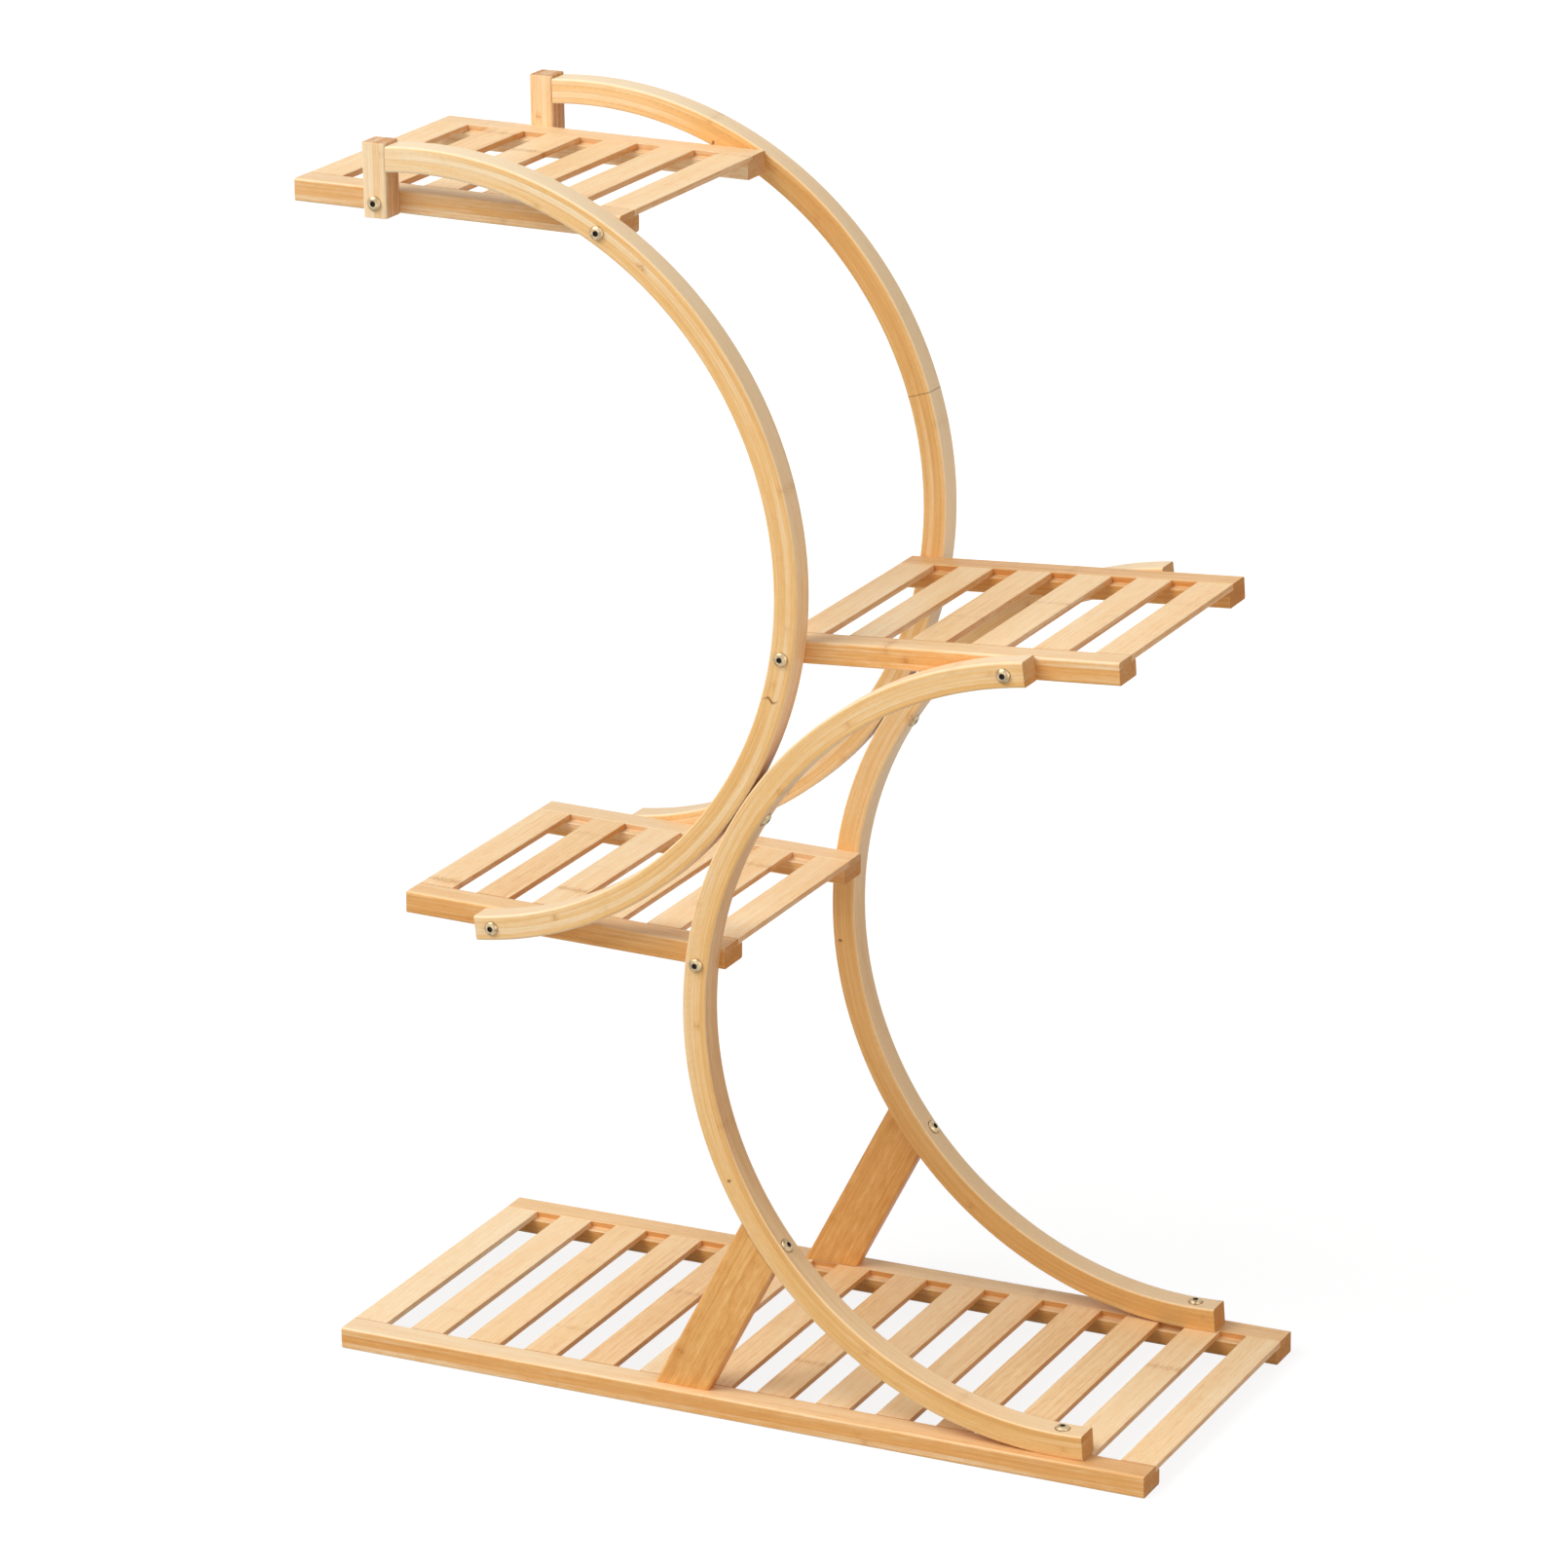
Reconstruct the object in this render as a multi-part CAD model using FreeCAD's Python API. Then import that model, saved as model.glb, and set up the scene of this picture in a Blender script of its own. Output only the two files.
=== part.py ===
import FreeCAD, Part

import math
import os

# A tiered plant stand of laminated bamboo: a long slatted base, three small slatted shelves
# and, at the front and at the rear, two bent half-circle arcs that stand back to back and
# carry the shelves. Bolts with threaded inserts hold it together.
#
# While it is built, X runs along the base from its left end, Y from the front face to the
# rear, and Z up from the floor. Everything at the rear mirrors the front. All sizes are in
# millimetres and all angles in degrees, measured from +X towards +Z.

# ---- rails and slats, the same stock in the base and in the shelves
rail_width = 31.0
rail_height = 18.0
rabbet_width = 8.0
slat_width = 29.0
slat_thickness = 5.0
slat_end_gap = 0.3
edge_round = 2.0

# ---- base
base_length = 700.0
base_depth = 305.0
base_slats = 14

# ---- shelves: each hangs on the bolt nearest the middle of the stand
shelf_length = 280.0
shelf_slats = 6
top_shelf_bolt_angle = 59.7
top_shelf_bolt_margin = 8.0
top_shelf_tilt = -1.07
right_shelf_upper_bolt_angle = -9.6
right_shelf_lower_bolt_angle = 99.2
right_shelf_bolt_margin = 14.0
left_shelf_upper_bolt_angle = -81.4
left_shelf_lower_bolt_angle = 172.1
left_shelf_bolt_margin = 13.5

# ---- arcs: the radii are those of the outer faces, and the upper half of a lower arc
# is sprung slightly open, to a larger radius
arc_radius = 314.0
opened_radius = 321.0
arc_thickness = 20.0
arc_depth = 22.0
arc_inset = 7.5
arc_contact_gap = 0.3
arc_contact_angle = 146.8
opened_from_angle = 175.0
foot_bolt_margin = 75.0
lower_arc_top_angle = 96.2
foot_end_angle = 273.9
foot_flat = 0.6
upper_arc_end_angle = -84.2
upper_arc_top_reach = 25.8
trim_angle = 1.0

# ---- posts, glued to the upper arcs' top ends
post_width = 20.0
post_rise = 1.0
post_bolt_lift = 2.5

# ---- braces between the base rails and the lower arcs
brace_reach = 345.5
brace_width = 41.0
brace_thickness = 14.0
brace_lean = 62.0
brace_bolt_angle = 218.1
brace_top_gap = 0.3

# ---- bolts, threaded inserts and dowels
bolt_diameter = 6.0
bolt_hole_gap = 0.3
head_diameter = 11.5
head_height = 3.0
head_rim = 1.0
head_bulge = 0.45
crown_diameter = 5.6
socket_width = 4.0
socket_depth = 1.8
spot_face_depth = 0.5
spot_face_gap = 0.5
insert_diameter = 9.0
insert_length = 12.0
insert_recess = 0.5
insert_gap = 0.1
thread_gap = 0.1
bolt_tip_gap = 1.0
dowel_diameter = 6.0
dowel_length = 24.0
dowel_spacing = 10.0
dowel_gap = 0.1
drill_overrun = 8.0

Vector = FreeCAD.Vector
UP = Vector(0, 0, 1)
REARWARD = Vector(0, 1, 0)
RIGHTWARD = Vector(1, 0, 0)

nodes = {}


def polar(centre, radius, angle):
    """Return the point at an angle on a circle that stands in the XZ plane."""
    turn = math.radians(angle)
    return centre + Vector(radius * math.cos(turn), 0, radius * math.sin(turn))


def mirrored(solid):
    """Return the rear twin of a solid at the front."""
    return solid.mirror(Vector(0, base_depth / 2, 0), REARWARD)


def rounded(solid, edges, radius):
    """Round the given edges, by no more than a third of the thinnest section."""
    thinnest = min(rail_height, arc_thickness, arc_depth, brace_thickness, post_width)
    return solid.makeFillet(min(radius, thinnest / 3), edges)


def edges_along(solid, direction):
    """Return the straight edges that run along a direction."""
    found = []
    for edge in solid.Edges:
        if isinstance(edge.Curve, Part.Line) and edge.Curve.Direction.cross(direction).Length < 1e-6:
            found.append(edge)
    return found


# ---- where things stand: the arcs' centres, taken in the plane of the front face; the
# lower arcs and the braces keep their distance from the base's right end
lower_arc_x = base_length - foot_bolt_margin
brace_x = lower_arc_x - brace_reach
lower_centre = Vector(lower_arc_x, 0, rail_height + arc_radius - foot_flat)
opened_centre = polar(lower_centre, arc_radius - opened_radius, opened_from_angle)
centre_distance = opened_radius + arc_contact_gap + arc_radius
upper_centre = polar(opened_centre, centre_distance, arc_contact_angle)

shelf_inset = arc_inset + arc_depth
shelf_depth = base_depth - 2 * shelf_inset
arc_middle_y = arc_inset + arc_depth / 2
rail_top_width = rail_width - rabbet_width
rail_middle = rail_height / 2
brace_inset = rail_top_width - brace_thickness
brace_middle_y = brace_inset + brace_thickness / 2


# ---- trays: two rabbeted rails with slats glued on their ledges

def front_rail(length):
    """Return a rail whose inner top edge has a rabbet for the slats' ends."""
    rail = Part.makeBox(length, rail_width, rail_height)
    rail = rounded(rail, edges_along(rail, RIGHTWARD), edge_round)
    ledge = Vector(-drill_overrun, rail_top_width, rail_height - slat_thickness)
    rabbet = Part.makeBox(length + 2 * drill_overrun, rail_width, rail_height, ledge)
    return rail.cut(rabbet)


def tray_slats(length, depth, count):
    """Return the slats of a tray, spaced evenly with the outer two flush at its ends."""
    pitch = (length - slat_width) / (count - 1)
    slat_start = rail_top_width + slat_end_gap
    slat_length = depth - 2 * slat_start
    slats = []
    for number in range(count):
        corner = Vector(number * pitch, slat_start, rail_height - slat_thickness)
        slats.append(Part.makeBox(slat_width, slat_length, slat_thickness, corner))
    return slats


def add_tray(name, rail, slats, digits):
    """Name a tray's two rails and its slats."""
    nodes[name + "_front_rail"] = rail
    nodes[name + "_rear_rail"] = mirrored(rail)
    for number, slat in enumerate(slats, 1):
        nodes[name + "_slat_" + str(number).zfill(digits)] = slat


def shelf_placement(anchor, anchor_x, tilt):
    """Return the placement that puts a shelf's anchor point, at mid height, on a bolt's axis."""
    turn = FreeCAD.Rotation(REARWARD, -tilt)
    local_anchor = Vector(anchor_x, 0, rail_middle)
    shift = Vector(anchor.x, shelf_inset, anchor.z)
    return FreeCAD.Placement(shift - turn.multVec(local_anchor), turn)


def shelf_pieces(placement):
    """Return a shelf's front rail and slats in place."""
    rail = front_rail(shelf_length)
    slats = tray_slats(shelf_length, shelf_depth, shelf_slats)
    for piece in [rail] + slats:
        piece.Placement = placement.multiply(piece.Placement)
    return rail, slats


def slope_between(left, right):
    """Return the angle of the line from the left point to the right one."""
    return math.degrees(math.atan2(right.z - left.z, right.x - left.x))


# ---- bolted joints: a bolt, its insert, and the hole that both need

def bolt(seat, direction, length):
    """Return a button-head bolt whose head rests at the seat and whose shank points inwards."""
    head_radius = head_diameter / 2
    shoulder = Vector(head_radius, 0, -head_rim)
    crown = Vector(crown_diameter / 2, 0, -head_height)
    slant = crown - shoulder
    bulge_direction = Vector(-slant.z, 0, slant.x).normalize()
    bulge = (shoulder + crown) / 2 + bulge_direction * head_bulge
    outline = [
        Part.makeLine(Vector(0, 0, 0), Vector(head_radius, 0, 0)),
        Part.makeLine(Vector(head_radius, 0, 0), shoulder),
        Part.Arc(shoulder, bulge, crown).toShape(),
        Part.makeLine(crown, Vector(0, 0, -head_height)),
        Part.makeLine(Vector(0, 0, -head_height), Vector(0, 0, 0)),
    ]
    head = Part.Face(Part.Wire(outline)).revolve(Vector(0, 0, 0), UP, 360)
    shank = Part.makeCylinder(bolt_diameter / 2, length)
    corners = []
    for corner in range(7):
        angle = math.radians(60 * corner)
        reach = socket_width / math.sqrt(3)
        corners.append(Vector(reach * math.cos(angle), reach * math.sin(angle), -head_height))
    socket = Part.Face(Part.makePolygon(corners)).extrude(Vector(0, 0, socket_depth))
    whole = head.fuse(shank).removeSplitter().cut(socket)
    whole.Placement = FreeCAD.Placement(seat, FreeCAD.Rotation(UP, direction))
    return whole.Solids[0]


def insert(mouth, direction):
    """Return a threaded insert, drawn as a plain sleeve."""
    sleeve = Part.makeCylinder(insert_diameter / 2, insert_length, mouth, direction)
    bore = Part.makeCylinder(bolt_diameter / 2 + thread_gap, insert_length, mouth, direction)
    return sleeve.cut(bore)


def joint_hole(seat, direction, wide_from, wide_to):
    """Return the material drilled for a joint: spot face, bolt hole and wider insert hole."""
    spot_radius = head_diameter / 2 + spot_face_gap
    spot_start = seat - direction * drill_overrun
    spot = Part.makeCylinder(spot_radius, drill_overrun, spot_start, direction)
    bolt_hole = Part.makeCylinder(bolt_diameter / 2 + bolt_hole_gap, wide_from, seat, direction)
    wide_start = seat + direction * wide_from
    wide_radius = insert_diameter / 2 + insert_gap
    wide_hole = Part.makeCylinder(wide_radius, wide_to - wide_from, wide_start, direction)
    return spot.fuse([bolt_hole, wide_hole])


class Joint:
    """A bolted joint: where its head sits, which way it points and how deep its insert lies."""

    def __init__(self, seat, direction, insert_at, wide_from, wide_to):
        self.bolt = bolt(seat, direction, insert_at + insert_length - bolt_tip_gap)
        self.insert = insert(seat + direction * insert_at, direction)
        self.hole = joint_hole(seat, direction, wide_from, wide_to)


def joint_into_face(seat, direction, to_face):
    """Return a joint whose insert enters the second piece from the face that meets the first."""
    insert_at = to_face + insert_recess
    return Joint(seat, direction, insert_at, to_face, insert_at + insert_length)


def shelf_joint(point):
    """Return the joint that holds a shelf rail to an arc or a post at a point."""
    seat = Vector(point.x, arc_inset, point.z)
    return joint_into_face(seat, REARWARD, arc_depth)


# ---- shelves in place, from the bolts that carry them
upper_middle_radius = arc_radius - arc_thickness / 2
opened_middle_radius = opened_radius - arc_thickness / 2

top_bolt_point = polar(upper_centre, upper_middle_radius, top_shelf_bolt_angle)
right_upper_point = polar(upper_centre, upper_middle_radius, right_shelf_upper_bolt_angle)
right_lower_point = polar(opened_centre, opened_middle_radius, right_shelf_lower_bolt_angle)
left_upper_point = polar(upper_centre, upper_middle_radius, left_shelf_upper_bolt_angle)
left_lower_point = polar(opened_centre, opened_middle_radius, left_shelf_lower_bolt_angle)

right_shelf_tilt = slope_between(right_upper_point, right_lower_point)
left_shelf_tilt = slope_between(left_upper_point, left_lower_point)

top_placement = shelf_placement(top_bolt_point, shelf_length - top_shelf_bolt_margin, top_shelf_tilt)
right_placement = shelf_placement(right_upper_point, right_shelf_bolt_margin, right_shelf_tilt)
left_placement = shelf_placement(left_lower_point, shelf_length - left_shelf_bolt_margin, left_shelf_tilt)

top_rail, top_slats = shelf_pieces(top_placement)
right_rail, right_slats = shelf_pieces(right_placement)
left_rail, left_slats = shelf_pieces(left_placement)

# ---- the post's place: its right face stops the upper arc, its lower end is level with
# the top shelf's underside
post_right = upper_centre.x - upper_arc_top_reach
post_left = post_right - post_width
post_middle_x = post_left + post_width / 2
post_run = post_middle_x - top_bolt_point.x
top_line_z = top_bolt_point.z + post_run * math.tan(math.radians(top_shelf_tilt))
post_bottom = top_line_z - rail_middle / math.cos(math.radians(top_shelf_tilt))
post_top = upper_centre.z + arc_radius + post_rise
post_bolt_point = Vector(post_middle_x, 0, top_line_z + post_bolt_lift)

# ---- joints of the front frame
post_joint = shelf_joint(post_bolt_point)
top_joint = shelf_joint(top_bolt_point)
right_upper_joint = shelf_joint(right_upper_point)
right_lower_joint = shelf_joint(right_lower_point)
left_upper_joint = shelf_joint(left_upper_point)
left_lower_joint = shelf_joint(left_lower_point)

outward = polar(Vector(0, 0, 0), 1, arc_contact_angle)
arc_seat = polar(opened_centre, opened_radius - arc_thickness + spot_face_depth, arc_contact_angle)
arc_seat.y = arc_middle_y
arc_grip = arc_thickness - spot_face_depth + arc_contact_gap
arc_insert_at = arc_grip + insert_recess
arc_wide_from = arc_grip - arc_contact_gap / 2
arc_joint = Joint(arc_seat, outward, arc_insert_at, arc_wide_from, arc_insert_at + insert_length)

brace_outward = polar(Vector(0, 0, 0), 1, brace_bolt_angle)
brace_seat = polar(lower_centre, arc_radius - arc_thickness + spot_face_depth, brace_bolt_angle)
brace_seat.y = brace_middle_y
brace_grip = arc_thickness - spot_face_depth + brace_top_gap
brace_insert_at = brace_grip + insert_recess
brace_wide_from = brace_grip - brace_top_gap / 2
brace_top_joint = Joint(
    brace_seat, brace_outward, brace_insert_at, brace_wide_from, brace_insert_at + insert_length)

# the foot's insert is pressed into the base rail from below
foot_seat = Vector(lower_arc_x, arc_middle_y, lower_centre.z - arc_radius + arc_thickness - spot_face_depth)
foot_insert_at = foot_seat.z - insert_recess - insert_length
foot_joint = Joint(foot_seat, -UP, foot_insert_at, foot_insert_at, foot_seat.z + drill_overrun)

# the brace's lower bolt comes up through the base rail, its head sunk in the underside
brace_foot_length = brace_width / math.sin(math.radians(brace_lean))
brace_slope = 1 / math.tan(math.radians(brace_lean))
brace_foot_middle = brace_x + brace_foot_length / 2
brace_insert_middle = insert_recess + insert_length / 2
sunk_seat = Vector(
    brace_foot_middle + brace_insert_middle * brace_slope, brace_middle_y, head_height + spot_face_depth)
brace_foot_joint = joint_into_face(sunk_seat, UP, rail_height - sunk_seat.z)


# ---- arcs

def arc_edge(centre, radius, start, end):
    """Return a circular edge from one angle to another."""
    middle = polar(centre, radius, (start + end) / 2)
    return Part.Arc(polar(centre, radius, start), middle, polar(centre, radius, end)).toShape()


def bent_arc(spans):
    """Return a bent bar from spans that meet tangent: each a centre, a radius and two angles."""
    outer = [arc_edge(centre, radius, start, end) for centre, radius, start, end in spans]
    inner = [arc_edge(centre, radius - arc_thickness, start, end) for centre, radius, start, end in spans]
    first = Part.makeLine(inner[0].Vertexes[0].Point, outer[0].Vertexes[0].Point)
    last = Part.makeLine(outer[-1].Vertexes[-1].Point, inner[-1].Vertexes[-1].Point)
    face = Part.Face(Part.Wire(Part.__sortEdges__([first] + outer + [last] + inner)))
    face.translate(Vector(0, arc_inset, 0))
    bar = face.extrude(Vector(0, arc_depth, 0))
    long_edges = [edge for edge in bar.Edges if isinstance(edge.Curve, Part.Circle)]
    return rounded(bar, long_edges, edge_round)


# an upper arc is bent a little too long and its top end trimmed upright for the post
post_side = Vector(post_right - arc_radius, 0, 0)
upper_arc_waste = Part.makeBox(arc_radius, base_depth, 2 * upper_centre.z, post_side)
upper_top_angle = 90 + math.degrees(math.asin(upper_arc_top_reach / (arc_radius - arc_thickness)))
upper_arc = bent_arc([(upper_centre, arc_radius, upper_arc_end_angle, upper_top_angle + trim_angle)])
upper_arc = upper_arc.cut(upper_arc_waste)

# a lower arc's foot is ground flat where it stands on the base rail
foot_waste = Part.makeBox(base_length, base_depth, rail_height, Vector(lower_arc_x - base_length / 2, 0, 0))
lower_arc = bent_arc([
    (opened_centre, opened_radius, lower_arc_top_angle, opened_from_angle),
    (lower_centre, arc_radius, opened_from_angle, foot_end_angle),
])
lower_arc = lower_arc.cut(foot_waste)

# ---- posts and their dowels
post_corner = Vector(post_left, arc_inset, post_bottom)
post = Part.makeBox(post_width, arc_depth, post_top - post_bottom, post_corner)
post = rounded(post, edges_along(post, UP), edge_round)
dowel_z = upper_centre.z + math.sqrt(upper_middle_radius ** 2 - upper_arc_top_reach ** 2)


def dowel(side, gap):
    """Return a dowel, or with a gap the hole for it, on one side of the arc's middle."""
    start = Vector(post_right - dowel_length / 2 - gap, arc_middle_y + side * dowel_spacing / 2, dowel_z)
    return Part.makeCylinder(dowel_diameter / 2 + gap, dowel_length + 2 * gap, start, RIGHTWARD)


dowels = [dowel(side, 0) for side in (-1, 1)]
dowel_holes = [dowel(side, dowel_gap) for side in (-1, 1)]

# ---- braces: a leaning board, its top coped round the lower arc
brace_run = (lower_centre.z - rail_height) * brace_slope
brace_outline = Part.makePolygon([
    Vector(brace_x, brace_inset, rail_height),
    Vector(brace_x + brace_foot_length, brace_inset, rail_height),
    Vector(brace_x + brace_foot_length + brace_run, brace_inset, lower_centre.z),
    Vector(brace_x + brace_run, brace_inset, lower_centre.z),
    Vector(brace_x, brace_inset, rail_height),
])
brace = Part.Face(brace_outline).extrude(Vector(0, brace_thickness, 0))
brace_line = Vector(math.cos(math.radians(brace_lean)), 0, math.sin(math.radians(brace_lean)))
brace = rounded(brace, edges_along(brace, brace_line), edge_round)
cope = Part.makeCylinder(arc_radius + brace_top_gap, base_depth, lower_centre, REARWARD)
brace = brace.cut(cope).Solids[0]

# ---- base
base_rail = front_rail(base_length)
base_rail = base_rail.cut([foot_joint.hole, brace_foot_joint.hole])
add_tray("base", base_rail, tray_slats(base_length, base_depth, base_slats), 2)

# ---- shelves, with the holes of their joints
top_rail = top_rail.cut([top_joint.hole, post_joint.hole])
right_rail = right_rail.cut([right_upper_joint.hole, right_lower_joint.hole])
left_rail = left_rail.cut([left_upper_joint.hole, left_lower_joint.hole])
add_tray("top_shelf", top_rail, top_slats, 1)
add_tray("right_shelf", right_rail, right_slats, 1)
add_tray("left_shelf", left_rail, left_slats, 1)

# ---- the front frame and its rear twin
upper_holes = [top_joint.hole, right_upper_joint.hole, left_upper_joint.hole, arc_joint.hole]
lower_holes = [right_lower_joint.hole, left_lower_joint.hole, arc_joint.hole]
lower_holes += [foot_joint.hole, brace_top_joint.hole]
frame_pieces = {
    "upper_arc": upper_arc.cut(upper_holes + dowel_holes),
    "lower_arc": lower_arc.cut(lower_holes),
    "post": post.cut([post_joint.hole] + dowel_holes),
    "brace": brace.cut([brace_top_joint.hole, brace_foot_joint.hole]),
}
for name, piece in frame_pieces.items():
    nodes["front_" + name] = piece
    nodes["rear_" + name] = mirrored(piece)


def both_sides(pieces):
    """Return one group of separate solids: the pieces given and their rear twins."""
    return Part.makeCompound(pieces + [mirrored(piece) for piece in pieces])


shelf_joints = [
    post_joint, top_joint, right_upper_joint, right_lower_joint, left_upper_joint, left_lower_joint]
frame_joints = [arc_joint, brace_top_joint, foot_joint, brace_foot_joint]
nodes["shelf_bolts"] = both_sides([joint.bolt for joint in shelf_joints])
nodes["arc_joining_bolts"] = both_sides([arc_joint.bolt])
nodes["foot_bolts"] = both_sides([foot_joint.bolt])
nodes["brace_top_bolts"] = both_sides([brace_top_joint.bolt])
nodes["brace_foot_bolts"] = both_sides([brace_foot_joint.bolt])
nodes["threaded_inserts"] = both_sides([joint.insert for joint in shelf_joints + frame_joints])
nodes["post_dowels"] = both_sides(dowels)

# ---- the finished stand: centred on its bounding box, standing on z = 0
whole = Part.makeCompound(list(nodes.values()))
box = whole.BoundBox
to_origin = Vector(-(box.XMin + box.XMax) / 2, -base_depth / 2, 0)
os.makedirs("parts", exist_ok=True)
for name, shape in nodes.items():
    moved = shape.copy()
    moved.translate(to_origin)
    moved.exportStep("parts/" + name + ".step")

print("nodes", len(nodes), "solids", len(whole.Solids))
print("size", round(box.XLength, 2), round(box.YLength, 2), round(box.ZLength, 2))
print("moved by", round(to_origin.x, 3), round(to_origin.y, 3))
print("tilts", top_shelf_tilt, round(right_shelf_tilt, 3), round(left_shelf_tilt, 3))
print("upper centre", round(upper_centre.x, 2), round(upper_centre.z, 2))
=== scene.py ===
# %% [markdown]
# # A tiered bamboo plant stand
# The stand is a slatted tray on the floor, two pairs of bent arcs that stand on it back to back,
# and three small slatted shelves that the arcs carry. The construction is loaded first, as a fixed
# frame. Every piece of wood and metal is then worked out again as a finer surface in the same
# place, with eased edges, drilled holes and a grain that runs the way the real board was cut.

# %% Load the frame
import math
from functools import partial

import bpy
import numpy as np
from mathutils import Matrix, Vector


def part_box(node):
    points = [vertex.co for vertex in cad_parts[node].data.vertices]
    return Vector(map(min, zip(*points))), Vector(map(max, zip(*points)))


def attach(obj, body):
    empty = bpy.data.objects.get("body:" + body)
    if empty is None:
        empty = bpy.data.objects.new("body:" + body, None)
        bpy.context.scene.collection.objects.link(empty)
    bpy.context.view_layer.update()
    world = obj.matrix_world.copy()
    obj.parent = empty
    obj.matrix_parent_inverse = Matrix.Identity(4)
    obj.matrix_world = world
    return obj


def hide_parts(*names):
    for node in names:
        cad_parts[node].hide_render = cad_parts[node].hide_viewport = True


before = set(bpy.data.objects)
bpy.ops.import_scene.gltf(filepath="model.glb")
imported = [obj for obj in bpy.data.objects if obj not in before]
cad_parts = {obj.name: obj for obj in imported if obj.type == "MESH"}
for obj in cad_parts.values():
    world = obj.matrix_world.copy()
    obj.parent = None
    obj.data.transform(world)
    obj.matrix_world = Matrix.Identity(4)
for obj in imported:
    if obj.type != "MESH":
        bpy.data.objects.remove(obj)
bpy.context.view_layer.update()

mm, degrees, quarter_turn, full_turn = 0.001, math.radians, math.pi / 2, 2 * math.pi

# %% [markdown]
# ## Sizes
# A few sizes drive everything, as they do in a workshop: the rail stock, the slat stock, the bent
# bars and the fasteners. Places come from the frame's own boxes, so the looks can't drift away
# from the construction. Angles are measured from the right towards up, about an arc's centre.

# %% Stock sizes
rail_width, rail_height, rabbet_width = 31 * mm, 18 * mm, 8 * mm
rail_top_width, ledge_height = rail_width - rabbet_width, rail_height - 5 * mm
slat_width, slat_thickness, slat_end_gap = 29 * mm, rail_height - ledge_height, 0.3 * mm
long_edge_round, saw_edge_ease = 2 * mm, 0.4 * mm
arc_thickness, arc_depth, arc_inset = 20 * mm, 22 * mm, 7.5 * mm
post_width = 20 * mm
brace_width, brace_thickness, brace_lean = 41 * mm, 14 * mm, degrees(62)

# %% Places read from the frame
base_low, base_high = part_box("base_front_rail")
front_y = base_low.y
base_depth = -2 * front_y
arc_front_y = front_y + arc_inset
arc_middle_y = arc_front_y + arc_depth / 2
shelf_front_y = arc_front_y + arc_depth
brace_front_y = front_y + rail_top_width - brace_thickness
print("front face at y =", round(front_y, 4), "base depth", round(base_depth, 4))

# %% Centres of the arcs
arc_radius, opened_radius = 314 * mm, 321 * mm
contact_gap, contact_angle, opened_from = 0.3 * mm, degrees(146.8), degrees(175)
foot_bolt_margin, foot_flat = 75 * mm, 0.6 * mm


def heading(angle):
    """The unit vector at an angle in the XZ plane: (cos, 0, sin)."""
    return np.array([math.cos(angle), 0, math.sin(angle)])


def polar(centre, radius, angle, y=0.0):
    """The point at an angle on a circle in an XZ plane: centre + radius * (cos, 0, sin)."""
    return centre + radius * heading(angle) + np.array([0, y, 0])


lower_centre = np.array([base_high.x - foot_bolt_margin, 0, rail_height + arc_radius - foot_flat])
opened_centre = polar(lower_centre, arc_radius - opened_radius, opened_from)
upper_centre = polar(opened_centre, opened_radius + contact_gap + arc_radius, contact_angle)
print("centres:", lower_centre.round(4), opened_centre.round(4), upper_centre.round(4))

# %% [markdown]
# ## The camera
# The picture was taken with a long lens from the front right, a little above the stand. A camera
# is a place, a direction and a lens; here the direction is made from an azimuth, an elevation and
# a small roll, and the lens from a focal length counted in picture widths.

# %% Place the camera
picture_width, focal_length_in_pixels = 1610, 6249.19
camera_place = Vector((1.97865, -4.04818, 1.97085))
azimuth, elevation, roll = degrees(26.1702), degrees(18.3281), degrees(-0.8658)


def add_object(name, data):
    """A new object that shows some data, in the scene."""
    made = bpy.data.objects.new(name, data)
    bpy.context.scene.collection.objects.link(made)
    return made


forward = Vector((-math.sin(azimuth) * math.cos(elevation),
                  math.cos(azimuth) * math.cos(elevation),
                  -math.sin(elevation)))
level_right = Vector((math.cos(azimuth), math.sin(azimuth), 0))
level_up = level_right.cross(forward)
right = level_right * math.cos(roll) + level_up * math.sin(roll)
up = level_up * math.cos(roll) - level_right * math.sin(roll)

camera_data = bpy.data.cameras.new("camera")
camera_data.lens = focal_length_in_pixels / picture_width * camera_data.sensor_width
camera = add_object("camera", camera_data)
turn = Matrix((right, up, -forward)).transposed().to_4x4()
camera.matrix_world = Matrix.Translation(camera_place) @ turn
bpy.context.scene.camera = camera
print("lens", round(camera_data.lens, 2), "mm")

# %% [markdown]
# ## Light and floor
# A product picture has one large soft lamp, up on the left, two weak ones that fill the shade from
# the front and the right, and white all round. Together they light a surface that faces them to
# about the brightness that its colour is written with. The floor looks white to the camera but
# still darkens where the stand shades it.

# %% Light the stand
stand_middle = Vector((0, 0, 0.5))


def add_lamp(name, direction, distance, size, share):
    """A round soft lamp, so far off in a direction from the stand's middle.

    A share of 1 lights a white surface that faces the lamp, at the stand's middle, to full white:
    the power for that is pi^2 * distance^2.
    """
    direction = Vector(direction).normalized()
    data = bpy.data.lights.new(name, "AREA")
    data.shape, data.size = "DISK", size
    data.energy = share * (math.pi * distance) ** 2
    facing = direction.to_track_quat("Z", "Y").to_matrix().to_4x4()
    place = Matrix.Translation(stand_middle + direction * distance)
    add_object(name, data).matrix_world = place @ facing
    print(name, round(data.energy), "watts")


add_lamp("main_lamp", (-0.46, -0.44, 0.77), 7.0, 5.4, 0.84)
add_lamp("front_lamp", (-0.15, -1.0, 0.20), 4.5, 2.6, 0.10)
add_lamp("right_lamp", (0.88, -0.30, 0.38), 4.2, 3.0, 0.28)
bpy.context.scene.view_settings.view_transform = "Standard"

# %% Helpers that add nodes


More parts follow.
